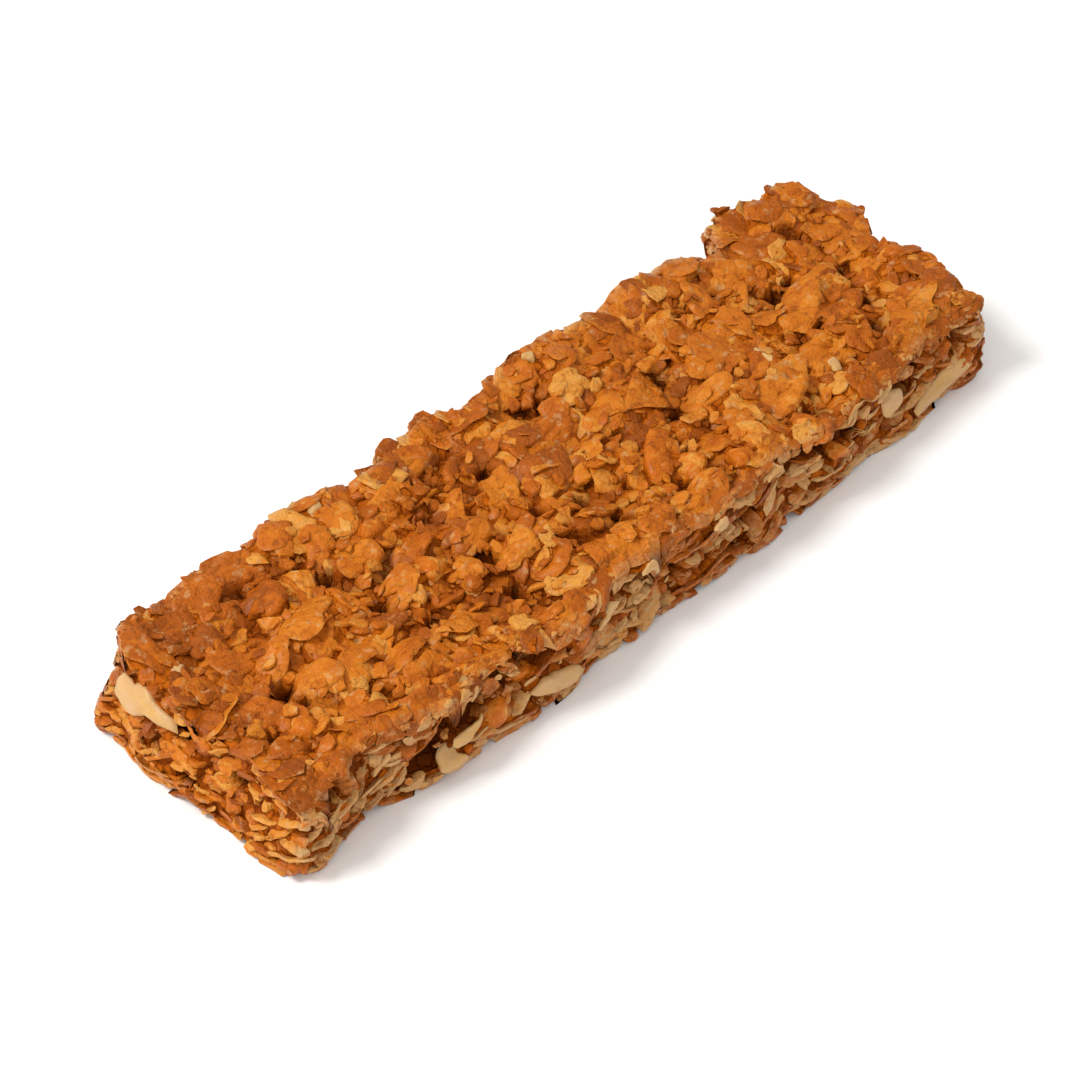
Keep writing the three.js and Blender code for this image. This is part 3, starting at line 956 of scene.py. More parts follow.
def lay_flat_on_sides(slab, sizes):
    """A few oats and scraps that lie flat to the walls."""
    rng = np.random.default_rng(SEED + 3)
    highest = BAR_HIGH[2] - SCRAP_HIGHEST
    places, facing = wall_places(rng, slab.outline, SCRAPS, SCRAP_LOWEST, highest)
    count = len(places)
    oats = some_oats(rng, count, sizes, mixed_toast(rng, 0.35, 0.25, count))
    oats["half_long"] *= SCRAP_LONG
    oats["half_wide"] *= SCRAP_WIDE
    sunk = places - facing * rng.uniform(0.2, 0.8, count)[:, None]
    stand_on_wall(oats, sunk, facing, rng.normal(0.15, 0.3, count), rng.uniform(0.2, 1.3, count))
    oats["proud"] = rng.uniform(-0.3, 0.4, count)
    return oats


# The layers on the top face: their spacing as a share of the usual one, how deep in mm their faces lie below
# the outline at least, and whether they leave the crevices open.
TOP_LAYERS = ((0.9, 1.1, False), (0.9, 0.6, False), (0.9, 0.2, True), (1.0, -0.1, True))
OATS_CLEAR = 0.8  # share of a crevice's radius that oats leave open
CRUMBS_CLEAR = 0.3  # and crumbs
AIM_HEIGHT = 8.0  # mm: where pieces for the top are held before they settle
BARELY_HELD = 0.1  # share of a listed piece that has to lie on something


def over_top(x, y):
    """The middles of pieces held over places (x, y) of the top face's tables."""
    return np.column_stack([x + SLAB_MIDDLE[0], y + SLAB_MIDDLE[1], np.full(len(x), AIM_HEIGHT)])


def lay_top(slab, sizes):
    """Layers of oats all over the top, then the ones that stand out."""
    rng = np.random.default_rng(SEED + 4)
    batches = []
    for gap, sunk, opened in TOP_LAYERS:
        places = even_places(rng, gap * sizes.oat_gap / MM, margin=0.4)
        count = len(places)
        oats = some_oats(rng, count, sizes, mixed_toast(rng, 0.45, 0.26, count, scorch(places)))
        oats["middle"] = np.column_stack([places, np.full(count, AIM_HEIGHT)])
        slab.outline.draw_in(oats, overhang=-0.3)
        kept = [i for i in range(count) if not (opened and slab.blocks(oats, i, OATS_CLEAR))]
        laid = [i for i in kept if slab.settle(oats, i, sunk)]
        batches.append(chosen(oats, laid))
    x, y, long, wide, degrees, toast = np.array(TOP_OATS).T
    thick = sizes.oat_thick / MM * rng.uniform(0.95, 1.25, len(x))
    shown = shapes(rng, GLAZED_OAT, long, wide, thick, np.radians(degrees), toast)
    shown["middle"] = over_top(x, y)
    slab.outline.draw_in(shown, overhang=-0.1)
    sunk = rng.uniform(-0.45, 0.05, len(x))
    laid = [i for i in range(len(x)) if slab.settle(shown, i, sunk[i], least_held=BARELY_HELD)]
    return together(batches), chosen(shown, laid)


CRISPS = 40  # small ones in the walls, before those at free places are left out
CRISP_LOWEST = 1.0  # mm from the underside up to their middles
CRISP_STANDS = 0.35  # mm by which a crisp may stand out past the top
CRISP_DEPTH = 0.45  # share of its length by which the middle of a small crisp lies in from the wall
SHOWN_DEPTH = 0.3  # share of its thickness by which that of a listed crisp does
SHOWN_ROLL = 0.2  # its roll from level, in radians
SHOWN_TIP = 0.3  # and how far its face tips up
SHOWN_STANDS = 0.6  # mm by which it may stand out past the wall


def lay_crisps(slab):
    """Round crisps on the top face and in the walls."""
    rng = np.random.default_rng(SEED + 5)
    x, y, long, wide, thick, degrees, toast = np.array(TOP_CRISPS).T
    top = shapes(rng, CRISP, long, wide, thick, np.radians(degrees), toast)
    top["middle"] = over_top(x, y)
    for i in range(len(x)):
        slab.settle(top, i, -CRISP_STANDS, least_held=BARELY_HELD)
    highest = BAR_HIGH[2] - SCRAP_HIGHEST
    places, facing = wall_places(rng, slab.outline, CRISPS, CRISP_LOWEST, highest)
    count = len(places)
    long = rng.uniform(1.8, 3.2, count)
    wide = long * rng.uniform(0.65, 0.95, count)
    thick = long * rng.uniform(0.6, 0.8, count)
    turn = rng.uniform(0, TAU, count)
    side = shapes(rng, CRISP, long, wide, thick, turn, rng.uniform(0.2, 0.9, count))
    side["middle"] = places - facing * (CRISP_DEPTH * long)[:, None]
    wall, along, height, long, wide, thick, toast = np.array(WALL_CRISPS).T
    count = len(wall)
    places, facing = slab.outline.on_wall(wall, along, height)
    places = places - facing * (SHOWN_DEPTH * thick)[:, None]
    shown = shapes(rng, CRISP, long, wide, thick, np.zeros(count), toast)
    stand_on_wall(shown, places, facing, np.full(count, SHOWN_ROLL), np.full(count, SHOWN_TIP))
    shown["proud"] += SHOWN_STANDS
    return together([top, side, shown])


NUT_STANDS = 0.15  # mm by which a sliver may stand out past the top
WALL_NUT_STANDS = 0.8  # and past a wall
NUT_OUT = 0.1  # mm from a wall out to the middle of a sliver in it
NEAR_TAPER = 0.25  # how much narrower, as a share, the right end of the near end's sliver is at least
WALL_TAPER = 0.5  # taper of the other slivers in the walls, as a share of the usual one


def lay_nuts(slab):
    """Slivers of almond on the top face and in the walls."""
    rng = np.random.default_rng(SEED + 6)
    x, y, long, wide, thick, degrees = np.array(TOP_NUTS).T
    top = shapes(rng, SLIVER, long, wide, thick, np.radians(degrees), rng.uniform(0, 0.5, len(x)))
    top["middle"] = over_top(x, y)
    for i in range(len(x)):
        slab.settle(top, i, -NUT_STANDS, least_held=BARELY_HELD)
    wall, along, height, long, wide, thick, roll, tip = np.array(WALL_NUTS).T
    count = len(wall)
    places, facing = slab.outline.on_wall(wall, along, height)
    side = shapes(rng, SLIVER, long, wide, thick, np.zeros(count), rng.uniform(0, 1, count))
    stand_on_wall(side, places + NUT_OUT * facing, facing, np.radians(roll), np.radians(tip))
    side["bend"][:, 0] = rng.uniform(-Slab.MOST_BEND, Slab.MOST_BEND, count)
    taper = side["taper"]
    side["taper"] = np.where(wall == NEAR, -NEAR_TAPER - np.abs(taper), WALL_TAPER * taper)
    side["proud"] += WALL_NUT_STANDS
    return together([top, side])


TRIES = 4  # places looked at for each crumb on the top
HOLLOW_CELLS = 4  # how wide the bed is blurred to find its hollows
STRAY = 0.4  # mm by which crumbs stray from the deepest places
SHORT_MORE_OFTEN = 1.5  # 1 would make all lengths as frequent
TOP_CRUMBS = (0.7, 1.7)  # mm: length of the shortest on the top, and how much longer the longest are
WALL_CRUMBS = (1.0, 2.6)  # and the same in the walls
WALL_CRUMB_LOWEST = 0.9  # mm from the underside up to their middles
WALL_CRUMB_ROOM = 0.2  # mm between their middles and what is kept free
WALL_CRUMB_STANDS = 0.1  # mm by which they may stand out past the wall
CRUMB_MARGIN = 1  # mm from the bar's box in to the middles of those on the top
CRUMB_SINKS = 0.2  # share of its half thickness by which a crumb sinks in


def crumb_lengths(rng, shortest, more, count):
    """Random lengths of crumbs, of which the short ones are more frequent."""
    return shortest + more * rng.uniform(0, 1, count) ** SHORT_MORE_OFTEN


def lay_crumbs(slab, sizes):
    """Broken bits of oat: small ones on the top, mostly in its hollows, and longer ones on the walls."""
    rng = np.random.default_rng(SEED + 7)
    count = sizes.crumbs_on_top
    tries = rng.uniform(BAR_LOW[:2] + CRUMB_MARGIN, BAR_HIGH[:2] - CRUMB_MARGIN, (TRIES * count, 2))
    cells = ((tries - BAR_LOW[:2]) / slab.STEP).astype(int)
    hollow = blurred(np.maximum(slab.heights, 0), HOLLOW_CELLS) - slab.heights
    height = rng.normal(0, STRAY, TRIES * count) - hollow[cells[:, 0], cells[:, 1]]
    places = tries[np.argsort(height)[:count]]
    long = crumb_lengths(rng, *TOP_CRUMBS, count)
    wide = long * rng.uniform(0.5, 0.95, count)
    thick = long * rng.uniform(0.2, 0.4, count)
    toast = mixed_toast(rng, 0.45, 0.22, count, scorch(places))
    top = shapes(rng, CRUMB, long, wide, thick, rng.uniform(0, TAU, count), toast)
    top["middle"][:, :2] = places
    sunk = rng.uniform(-0.45, 0.25, count)
    clear = [i for i in range(count) if not slab.blocks(top, i, CRUMBS_CLEAR)]
    laid = [i for i in clear if slab.settle(top, i, sunk[i], covers=False)]
    top["middle"][:, 2] -= CRUMB_SINKS * top["half_thick"]
    heights = (WALL_CRUMB_LOWEST, BAR_HIGH[2] - LAST_LAYER)
    places, facing = wall_places(rng, slab.outline, sizes.crumbs_on_sides, *heights, WALL_CRUMB_ROOM)
    count = len(places)
    long = crumb_lengths(rng, *WALL_CRUMBS, count)
    wide = long * rng.uniform(0.3, 0.6, count)
    thick = long * rng.uniform(0.15, 0.3, count)
    toast = mixed_toast(rng, 0.36, 0.28, count)
    side = shapes(rng, CRUMB, long, wide, thick, rng.uniform(0, TAU, count), toast)
    sunk = places - facing * rng.uniform(0.5, 1.4, count)[:, None]
    stand_on_wall(side, sunk, facing, rng.normal(0.1, 0.25, count), rng.uniform(0.6, 1.7, count))
    side["proud"] += WALL_CRUMB_STANDS
    return together([chosen(top, laid), side])


# ---------------------------------------------------------------- meshes


def new_object(name, mesh, material, crease=180):
    """Puts a mesh in the scene as a piece of the bar. Edges bent by more than crease degrees are sharp."""
    piece = bpy.data.objects.new(name, mesh)
    bpy.context.scene.collection.objects.link(piece)
    mesh.materials.append(material)
    mesh.shade_smooth()
    mesh.set_sharp_from_angle(angle=math.radians(crease))
    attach(piece, "root")
    return piece


def add_values(mesh, name, values):
    """Stores one number for each corner of a mesh."""
    values = np.ascontiguousarray(values, np.float32)
    mesh.attributes.new(name, "FLOAT", "POINT").data.foreach_set("value", values)


def repeated(pattern, count, each, first):
    """The faces of one piece repeated for each piece of a batch."""
    offsets = first + each * np.arange(count)
    return (np.array(pattern)[None] + offsets[:, None, None]).reshape(-1, len(pattern[0])).tolist()


TOP_DISC = (0.25, 0.5)  # middle of the top face's map in its cell, and of the bottom face's
BOTTOM_DISC = (0.75, 0.5)
DISC_SIZE = (0.23, 0.46)  # half of what either takes of the cell each way


def disc_maps(disc):
    """Flat maps of a disc's top and bottom faces, side by side in a cell: rings are evenly spaced circles."""
    rings = len(disc.rings)
    equator = [side for _, side in disc.rings].index(0) + 1
    ring = np.concatenate([[0], np.repeat(np.arange(1, rings + 1), disc.segments), [rings + 1]])
    turn = np.concatenate([[0], np.tile(np.arange(disc.segments), rings), [0]]) * TAU / disc.segments
    circle = np.column_stack([np.cos(turn), np.sin(turn)])
    top = circle * (ring / equator)[:, None]
    bottom = circle * ((rings + 1 - ring) / (rings + 1 - equator))[:, None]
    return TOP_DISC + top * DISC_SIZE, BOTTOM_DISC + bottom * DISC_SIZE, equator


CUT_SIDES = (FRONT, BACK)  # walls that show the dry inside of the oats
BROWN_BELOW = 0.7  # mm: the depth that the underside counts as, which the baking sheet has browned


def joined_mesh(name, parts, outline):
    """One mesh of many pieces. parts is a list of batches, each with the disc that its pieces are made on.

    Each corner stores how toasted it is, how near the rim, how far inside a crevice or a hole, how deep in
    the bar and how far in from the cut walls, and its place along and across its own piece. The map OFBake
    gives both faces of every piece a disc of their own.
    """
    cells = sum(len(pieces["turn"]) for pieces, _ in parts)
    columns = math.ceil(math.sqrt(cells / 2))
    rows = math.ceil(cells / columns)
    corners, faces, toast, rim, own, uvs = [], [], [], [], [], []
    first = cell = 0
    for pieces, disc in parts:
        count = len(pieces["turn"])
        places = skin(pieces, disc, outline)
        each = places.shape[1]
        from_middle = places - pieces["middle"][:, None]
        along = np.einsum("ijk,ik->ij", from_middle, pieces["along"])
        across = np.einsum("ijk,ik->ij", from_middle, pieces["across"])
        corners.append(places.reshape(-1, 3))
        own.append(np.stack([along, across, pieces["number"][:, None] + 0 * along], axis=-1).reshape(-1, 3))
        toast.append(np.repeat(pieces["toast"], each))
        shares = np.repeat([share for share, _ in disc.rings], disc.segments)
        rim.append(np.tile(np.pad(shares, 1), count))
        fan, quads, under = skin_faces(disc)
        top_map, bottom_map, equator = disc_maps(disc)
        number = cell + np.arange(count)
        origins = np.column_stack([number % columns, number // columns])
        split = (equator - 1) * disc.segments
        patterns = (fan, quads[:split], quads[split:], under)
        for pattern, flat in zip(patterns, (top_map, top_map, bottom_map, bottom_map)):
            faces += repeated(pattern, count, each, first)
            uvs.append(((flat[pattern][None] + origins[:, None, None]) / (columns, rows)).reshape(-1, 2))
        first += count * each
        cell += count
    corners = np.concatenate(corners)
    open_, pull = hollows(corners, outline, PIT_SPARED)
    corners = corners + pull
    mesh = bpy.data.meshes.new(name)
    mesh.from_pydata(corners * MM, [], faces)
    add_values(mesh, "open", open_)
    add_values(mesh, "toast", np.concatenate(toast))
    add_values(mesh, "rim", np.concatenate(rim))
    add_values(mesh, "deep", np.minimum(outline.depth(corners), corners[:, 2] + BROWN_BELOW))
    add_values(mesh, "inwards", outline.depth(corners, CUT_SIDES))
    places = mesh.attributes.new("own", "FLOAT_VECTOR", "POINT")
    places.data.foreach_set("vector", np.concatenate(own).ravel())
    mesh.uv_layers.new(name="OFBake").data.foreach_set("uv", np.concatenate(uvs).ravel())
    return mesh


CLOSING = 0.40  # mm: gaps up to twice as wide as this are filled with syrup
SYRUP_BELOW = 0.18  # mm from a piece's face down to the syrup, on the mean
SYRUP_LOW_ON_WALLS = 0.2  # mm by which the syrup lies lower still between the layers in the walls
FILLETING = (0.5, 2)  # factor and passes of the smoothing that rounds the corners between the pieces
SYRUP_FLOOR = 0.12  # mm from the underside of the oats up to the syrup
SYRUP_GRAIN = ((4.5, 0.10), (1.6, 0.16), (0.7, 0.12))  # size and height of the lumps in the syrup, in mm
PIT_DEPTH = 2.2  # mm by which a crevice or a hole is drawn in below its surroundings
PIT_SHARE = 0.85  # how wide it opens, as a share of its radius
PIT_POWER = 4.0  # steepness of its sides: 2 would be a bell
PIT_REACH = 4.0  # mm: what lies deeper than this stays where it is
PIT_RAGGED = 0.5  # how uneven its rim is, as a share of its radius
PIT_RAGGED_SIZE = 1.1  # mm: the size of that unevenness
PIT_SPARED = 0.4  # mm from the top down, where a pit leaves the flakes whole
PIT_STEP = 0.4  # mm from there down to where it has its full depth
WALL_OPENING = 0.3  # how open the syrup between the layers in the walls counts as, which darkens it with painted shade


def syrup_mesh(slab, detail):
    """The syrup: one skin over the core and every piece, grown by the closing, then drawn in again.

    What was narrower than the growth stays filled. The skin is pushed in and out by grains of sugar and
    crumb, and drawn in where a crevice or a hole opens.
    """
    corners, faces = [slab.core], list(slab.faces)
    first = len(slab.core)
    for pieces in slab.laid:
        places = skin(pieces, PLAIN, slab.outline, grow=CLOSING)
        count, each = places.shape[:2]
        for pattern in skin_faces(PLAIN):
            faces += repeated(pattern, count, each, first)
        corners.append(places.reshape(-1, 3))
        first += count * each
    heap = bpy.data.meshes.new("heap")
    heap.from_pydata(np.concatenate(corners) * MM, [], faces)
    holder = bpy.data.objects.new("heap", heap)
    bpy.context.scene.collection.objects.link(holder)
    remesh = holder.modifiers.new("one skin", "REMESH")
    remesh.mode = "VOXEL"
    remesh.voxel_size = detail
    smooth = holder.modifiers.new("fillets", "SMOOTH")
    smooth.factor, smooth.iterations = FILLETING
    finished = holder.evaluated_get(bpy.context.evaluated_depsgraph_get())
    mesh = bpy.data.meshes.new_from_object(finished)
    bpy.data.objects.remove(holder)
    bpy.data.meshes.remove(heap)
    places, normals = np.empty(3 * len(mesh.vertices)), np.empty(3 * len(mesh.vertices))
    mesh.vertices.foreach_get("co", places)
    mesh.vertex_normals.foreach_get("vector", normals)
    places, normals = places.reshape(-1, 3) / MM, normals.reshape(-1, 3)
    sideways = 1 - np.abs(normals[:, 2])
    outwards = -CLOSING - SYRUP_BELOW - SYRUP_LOW_ON_WALLS * sideways
    for number, (size, height) in enumerate(SYRUP_GRAIN):
        outwards = outwards + height * smooth_noise(places / size, SEED + number)
    places = places + normals * np.reshape(outwards, (-1, 1))
    open_, pull = hollows(places, slab.outline, -PIT_STEP)
    # painted shade: the syrup on the walls, between the layers, counts as partly open and is darker
    open_ = np.maximum(open_, WALL_OPENING * sideways)
    places = places + pull
    places[:, 2] = np.maximum(places[:, 2], SYRUP_FLOOR)
    mesh.vertices.foreach_set("co", (places * MM).ravel())
    mesh.update()
    add_values(mesh, "deep", slab.outline.depth(places))
    add_values(mesh, "open", open_)
    return mesh


def hollows(places, outline, spared):
    """How open each place is, from 0 to 1, and how it is drawn in: a steep pit at each crevice or hole.

    What lies nearer to the top than the spared depth stays as it is, so that the pit ends at the rims of
    whole flakes.
    """
    wall, along, height, radius = np.array(HOLES).T
    points, ways = outline.on_wall(wall, along, height)
    pits = list(zip(points, ways, radius))
    for x, y, size in CREVICES:
        pits.append(((x + SLAB_MIDDLE[0], y + SLAB_MIDDLE[1], BAR_HIGH[2]), (0, 0, 1), size))
    open_ = np.zeros(len(places))
    pull = np.zeros_like(places)
    ragged = 1 + PIT_RAGGED * smooth_noise(places / PIT_RAGGED_SIZE, PIT_LUMPS)
    drawn = np.clip((outline.depth(places, (TOP,)) - spared) / PIT_STEP, 0, 1)
    for point, way, size in pits:
        from_point = places - point
        inwards = -from_point @ way
        away = np.linalg.norm(from_point + inwards[:, None] * way, axis=1) * ragged
        near = np.exp(-((away / (PIT_SHARE * size)) ** PIT_POWER)) * (inwards < PIT_REACH) * drawn
        pull -= PIT_DEPTH * near[:, None] * way
        open_ = np.maximum(open_, near)
    return open_, pull


# ---------------------------------------------------------------- materials


def node(tree, kind, inputs=None, **settings):
    """Adds a node with its settings. Its inputs are values, or outputs of other nodes to link to."""
    made = tree.nodes.new(kind)
    for name, value in settings.items():
        setattr(made, name, value)
    for name, value in (inputs or {}).items():
        if isinstance(value, bpy.types.NodeSocket):
            tree.links.new(value, made.inputs[name])
        else:
            made.inputs[name].default_value = value
    return made


def ramp(tree, factor, stops):
    """A colour ramp from (position, colour) stops."""
    made = node(tree, "ShaderNodeValToRGB", {"Fac": factor})
    elements = made.color_ramp.elements
    while len(elements) < len(stops):
        elements.new(0.5)
    for element, (position, shade) in zip(elements, stops):
        element.position = position
        element.color = (*shade, 1)
    return made.outputs["Color"]


def total(tree, *terms):
    """The sum of (output, factor) terms, where an output may also be a number."""
    result = 0.0
    for output, factor in terms:
        inputs = {0: output, 1: factor, 2: result}
        result = node(tree, "ShaderNodeMath", inputs, operation="MULTIPLY_ADD").outputs[0]
    return result


def product(tree, first, second):
    """Two outputs multiplied."""
    return node(tree, "ShaderNodeMath", {0: first, 1: second}, operation="MULTIPLY").outputs[0]


def between(tree, value, low, high, first=0.0, last=1.0):
    """first where the value is low, last where it is high, and in proportion between them."""
    inputs = {"Value": value, "From Min": low, "From Max": high, "To Min": first, "To Max": last}
    return node(tree, "ShaderNodeMapRange", inputs).outputs[0]


def mixed(tree, factor, first, second):
    """Two colours mixed by a factor."""
    return node(tree, "ShaderNodeMix", {0: factor, 6: first, 7: second}, data_type="RGBA").outputs[2]


def stored(tree, name, output="Fac"):
    """A value stored in the mesh."""
    return node(tree, "ShaderNodeAttribute", attribute_name=name).outputs[output]


def grains(tree, size, detail=3.0, layers=1.0):
    """Soft grains of a size in mm, from 0 to 1, in the piece's coordinates. Layers make them thinner."""
    place = node(tree, "ShaderNodeTexCoord").outputs["Object"]
    place = node(tree, "ShaderNodeMapping", {"Vector": place, "Scale": (1, 1, layers)}).outputs[0]
    inputs = {"Vector": place, "Scale": 1 / (size * MM), "Detail": detail, "Roughness": 0.6}
    return node(tree, "ShaderNodeTexNoise", inputs).outputs["Fac"]


GRANULE_BEND = 0.5  # how far granules are pulled out of shape, as a share of their size
GRANULE_WAVES = 1.6  # how many times finer than the granules that is
CRACK = 0.12  # width of the cracks between granules, as a share of their size


def granules(tree, size):
    """Uneven granules of a size in mm: a number from 0 to 1 for each, and how near the crack round it is."""
    place = node(tree, "ShaderNodeTexCoord").outputs["Object"]
    waves = {"Vector": place, "Scale": GRANULE_WAVES / (size * MM)}
    waves = node(tree, "ShaderNodeTexNoise", waves).outputs["Color"]
    bent = {0: waves, 1: (GRANULE_BEND * size * MM,) * 3, 2: place}
    bent = node(tree, "ShaderNodeVectorMath", bent, operation="MULTIPLY_ADD").outputs[0]
    inputs = {"Vector": bent, "Scale": 1 / (size * MM)}
    cell = node(tree, "ShaderNodeTexVoronoi", inputs).outputs["Color"]
    edge = node(tree, "ShaderNodeTexVoronoi", inputs, feature="DISTANCE_TO_EDGE").outputs["Distance"]
    return cell, between(tree, edge, 0.0, CRACK, 1.0, 0.0)


def along_piece(tree, scale):
    """Fine lines along each piece, from 0 to 1. The scale is how many there are in a mm each way."""
    own = node(tree, "ShaderNodeMapping", {"Vector": stored(tree, "own", "Vector"), "Scale": scale})
    inputs = {"Vector": own.outputs[0], "Scale": 1.0, "Detail": 3.0}
    return node(tree, "ShaderNodeTexNoise", inputs).outputs["Fac"]


def new_material(name, build, **constants):
    """A material whose build function gives base colour, roughness and height in mm from its node tree."""
    material = bpy.data.materials.new(name)
    material.use_nodes = True
    tree = material.node_tree
    tree.nodes.clear()
    base, roughness, height = build(tree)
    bump = node(tree, "ShaderNodeBump", {"Height": height, "Strength": 1.0, "Distance": MM})
    inputs = {"Base Color": base, "Roughness": roughness, "Normal": bump.outputs[0]}
    shader = node(tree, "ShaderNodeBsdfPrincipled", inputs)
    for name_, value in constants.items():
        shader.inputs[name_.replace("_", " ")].default_value = value
    node(tree, "ShaderNodeOutputMaterial", {"Surface": shader.outputs[0]})
    return material


HONEY_TINT = (1.0, 0.72, 0.42, 1.0)  # the sheen of the syrup is warmer than the light it mirrors


def baked_oats(colours):
    """Rolled oats, steamed and rolled flat, then baked under a honey glaze.

    The toast of each flake picks its shade, mottled by the starch. Its rims are paler, partly crumbled and
    partly a painted highlight, with small painted pale glints and dark specks. Where the bar is cut, the
    flakes show a dry, pale inside. The dried glaze gives a soft broken sheen, and fine ridges run along each
    flake.
    Painted shade darkens oats deep in the bar and round crevices and holes towards the syrup's colours.
    """

    def build(tree):
        toasted = stored(tree, "toast")
        granule, crack = granules(tree, 2.0)
        mottle = ((grains(tree, 1.6), 0.5), (grains(tree, 3.0, layers=5.0), 0.5), (grains(tree, 0.5), 0.3))
        toast = total(tree, (toasted, 0.9), *mottle, (granule, 0.2), (1, -0.67))
        shades = [(0.1, colours.pale), (0.36, colours.golden), (0.65, colours.amber), (1.0, colours.toasted)]
        base = ramp(tree, toast, shades)
        # paler rims: partly crumbled starch, partly a painted highlight on the raised rim
        rim = between(tree, stored(tree, "rim"), 0.75, 1.0)
        crumbled_rims_and_painted_highlight = total(tree, (rim, 0.5), (grains(tree, 0.9), 1.2), (1, -0.95))
        base = mixed(tree, crumbled_rims_and_painted_highlight, base, (*colours.pale, 1))
        # painted glints: small pale spots in the dry colour that stand for highlights on the glaze
        painted_glints = between(tree, grains(tree, 1.1, 2.0), 0.60, 0.70, 0.0, 0.5)
        cut = between(tree, stored(tree, "inwards"), 0.2, 1.6, 1.0, 0.0)
        inside = total(tree, (toasted, -0.5), (grains(tree, 1.2, layers=3.0), 1.0))
        dusty = product(tree, cut, between(tree, inside, 0.1, 0.5))
        base = mixed(tree, total(tree, (painted_glints, 1), (dusty, 0.85)), base, (*colours.dry, 1))
        speck = between(tree, grains(tree, 1.1, 2.0), 0.40, 0.30, 0.0, 0.5)
        base = mixed(tree, speck, base, (*colours.syrup, 1))
        # painted shade: oats at the crevices and holes are darkened towards the burnt and shaded syrup colour
        crevice = between(tree, stored(tree, "open"), 0.2, 0.8, 0.0, 0.9)
        base = mixed(tree, crevice, base, (*colours.burnt_and_shaded, 1))
        cracked = product(tree, crack, between(tree, grains(tree, 3.0), 0.45, 0.6, 0.0, 0.2))
        base = mixed(tree, cracked, base, (*colours.syrup, 1))
        # painted shade: the deeper an oat lies in the bar, the more it is darkened towards the syrup's colour
        soaked = between(tree, stored(tree, "deep"), 0.4, 1.8, 0.0, 0.75)
        base = mixed(tree, soaked, base, (*colours.syrup, 1))
        bumps = ((grains(tree, 0.9), 0.35), (grains(tree, 0.3), 0.08), (granule, 0.15))
        ridges = along_piece(tree, (0.4, 3.0, 1.0))
        height = total(tree, *bumps, (ridges, 0.12), (crack, -0.05), (speck, -0.12))
        return base, between(tree, grains(tree, 1.4), 0.3, 0.7, 0.38, 0.6), height

    return new_material(
        "baked_rolled_oats", build, Subsurface_Weight=0.05, Subsurface_Radius=(1.0, 0.4, 0.15),
        Subsurface_Scale=0.8 * MM, Specular_IOR_Level=0.3, Specular_Tint=HONEY_TINT, Coat_Weight=0.08,
        Coat_Roughness=0.28,
    )


def caramel_syrup(colours):
    """Sugar and honey syrup, boiled and baked to caramel, full of fine crumb.

    It is glossy and grainy and amber near the outside. Painted shade darkens it to dark brown the deeper it
    lies, and down in the crevices and holes.
    """

    def build(tree):
        granule, crack = granules(tree, 1.3)
        # painted shade: the deeper and the more open the syrup, the darker; the grains add real unevenness
        painted_shade = ((stored(tree, "deep"), 0.35), (stored(tree, "open"), 0.6))
        dark = total(tree, *painted_shade, (grains(tree, 1.6), 0.6), (granule, 0.4), (crack, 0.2), (1, -0.55))
        shades = [(0.0, colours.amber), (0.4, colours.syrup), (1.0, colours.burnt_and_shaded)]
        bumps = ((grains(tree, 0.8), 0.25), (grains(tree, 0.3), 0.08))
        height = total(tree, *bumps, (granule, 0.2), (crack, -0.15))
        return ramp(tree, dark, shades), between(tree, grains(tree, 0.9), 0.3, 0.7, 0.4, 0.65), height

    return new_material(
        "baked_caramel_syrup", build, Subsurface_Weight=0.08, Subsurface_Radius=(1.0, 0.3, 0.08),
        Subsurface_Scale=0.8 * MM, Specular_IOR_Level=0.1, Specular_Tint=HONEY_TINT,
    )


def glazed_crisps(colours):
    """Puffed grain crisps with a thick skin of honey glaze, which gives them a bright orange gloss."""

    def build(tree):
        shade = total(tree, (stored(tree, "toast"), 0.9), (grains(tree, 1.4), 2.0), (1, -0.9))
        shades = [(0.0, colours.pale), (0.3, colours.crisp), (0.65, colours.amber), (1.0, colours.toasted)]
        height = total(tree, (grains(tree, 1.0), 0.50), (grains(tree, 0.3), 0.08))
        return ramp(tree, shade, shades), between(tree, grains(tree, 0.9), 0.3, 0.7, 0.35, 0.6), height

    return new_material(
        "honey_glazed_crisps", build, Subsurface_Weight=0.15, Subsurface_Radius=(1.0, 0.35, 0.1),
        Subsurface_Scale=1.0 * MM, Specular_IOR_Level=0.3, Specular_Tint=HONEY_TINT, Coat_Weight=0.1,
        Coat_Roughness=0.18,
    )


def almond(colours):
    """Blanched almond cut in slivers: dry, pale and matt, with faint grain and a touch of syrup."""

    def build(tree):
        toasted, streaks = stored(tree, "toast"), along_piece(tree, (0.3, 1.6, 1.0))
        shade = total(tree, (toasted, 0.4), (grains(tree, 1.5), 1.0), (streaks, 1.4), (1, -1.05))
        shades = [(0.0, colours.nut), (0.6, colours.dry), (1.0, colours.amber)]
        height = total(tree, (grains(tree, 0.5), 0.08), (grains(tree, 1.6), 0.15), (streaks, 0.15))
        return ramp(tree, shade, shades), 0.5, height

    return new_material(
        "blanched_almond", build, Subsurface_Weight=0.2, Subsurface_Radius=(1.0, 0.6, 0.3),
        Subsurface_Scale=1.0 * MM, Coat_Weight=0.1, Coat_Roughness=0.3, IOR=1.45,
    )


def studio_floor(colours):
    """Matt painted board, plain and pale."""

    def build(tree):
        return (*colours.floor, 1), 0.8, total(tree, (grains(tree, 3.0), 0.002))

    return new_material("matt_board", build)


# ---------------------------------------------------------------- operators

state = {}


def slab_of(context):
    """The slab on which the pieces are laid, made when it is first asked for."""
    sizes = context.scene.granola_sizes
    if "slab" not in state:
        state["slab"] = Slab(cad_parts[BAR], sizes.top_depth / MM, sizes.side_depth / MM)
    return state["slab"]


# Oats are sorted by how toasted they are: the name of each sort, its least toast and the next one's.
BAKES = (("golden_oats", -1, 0.38), ("amber_oats", 0.38, 0.62), ("toasted_oats", 0.62, 2))


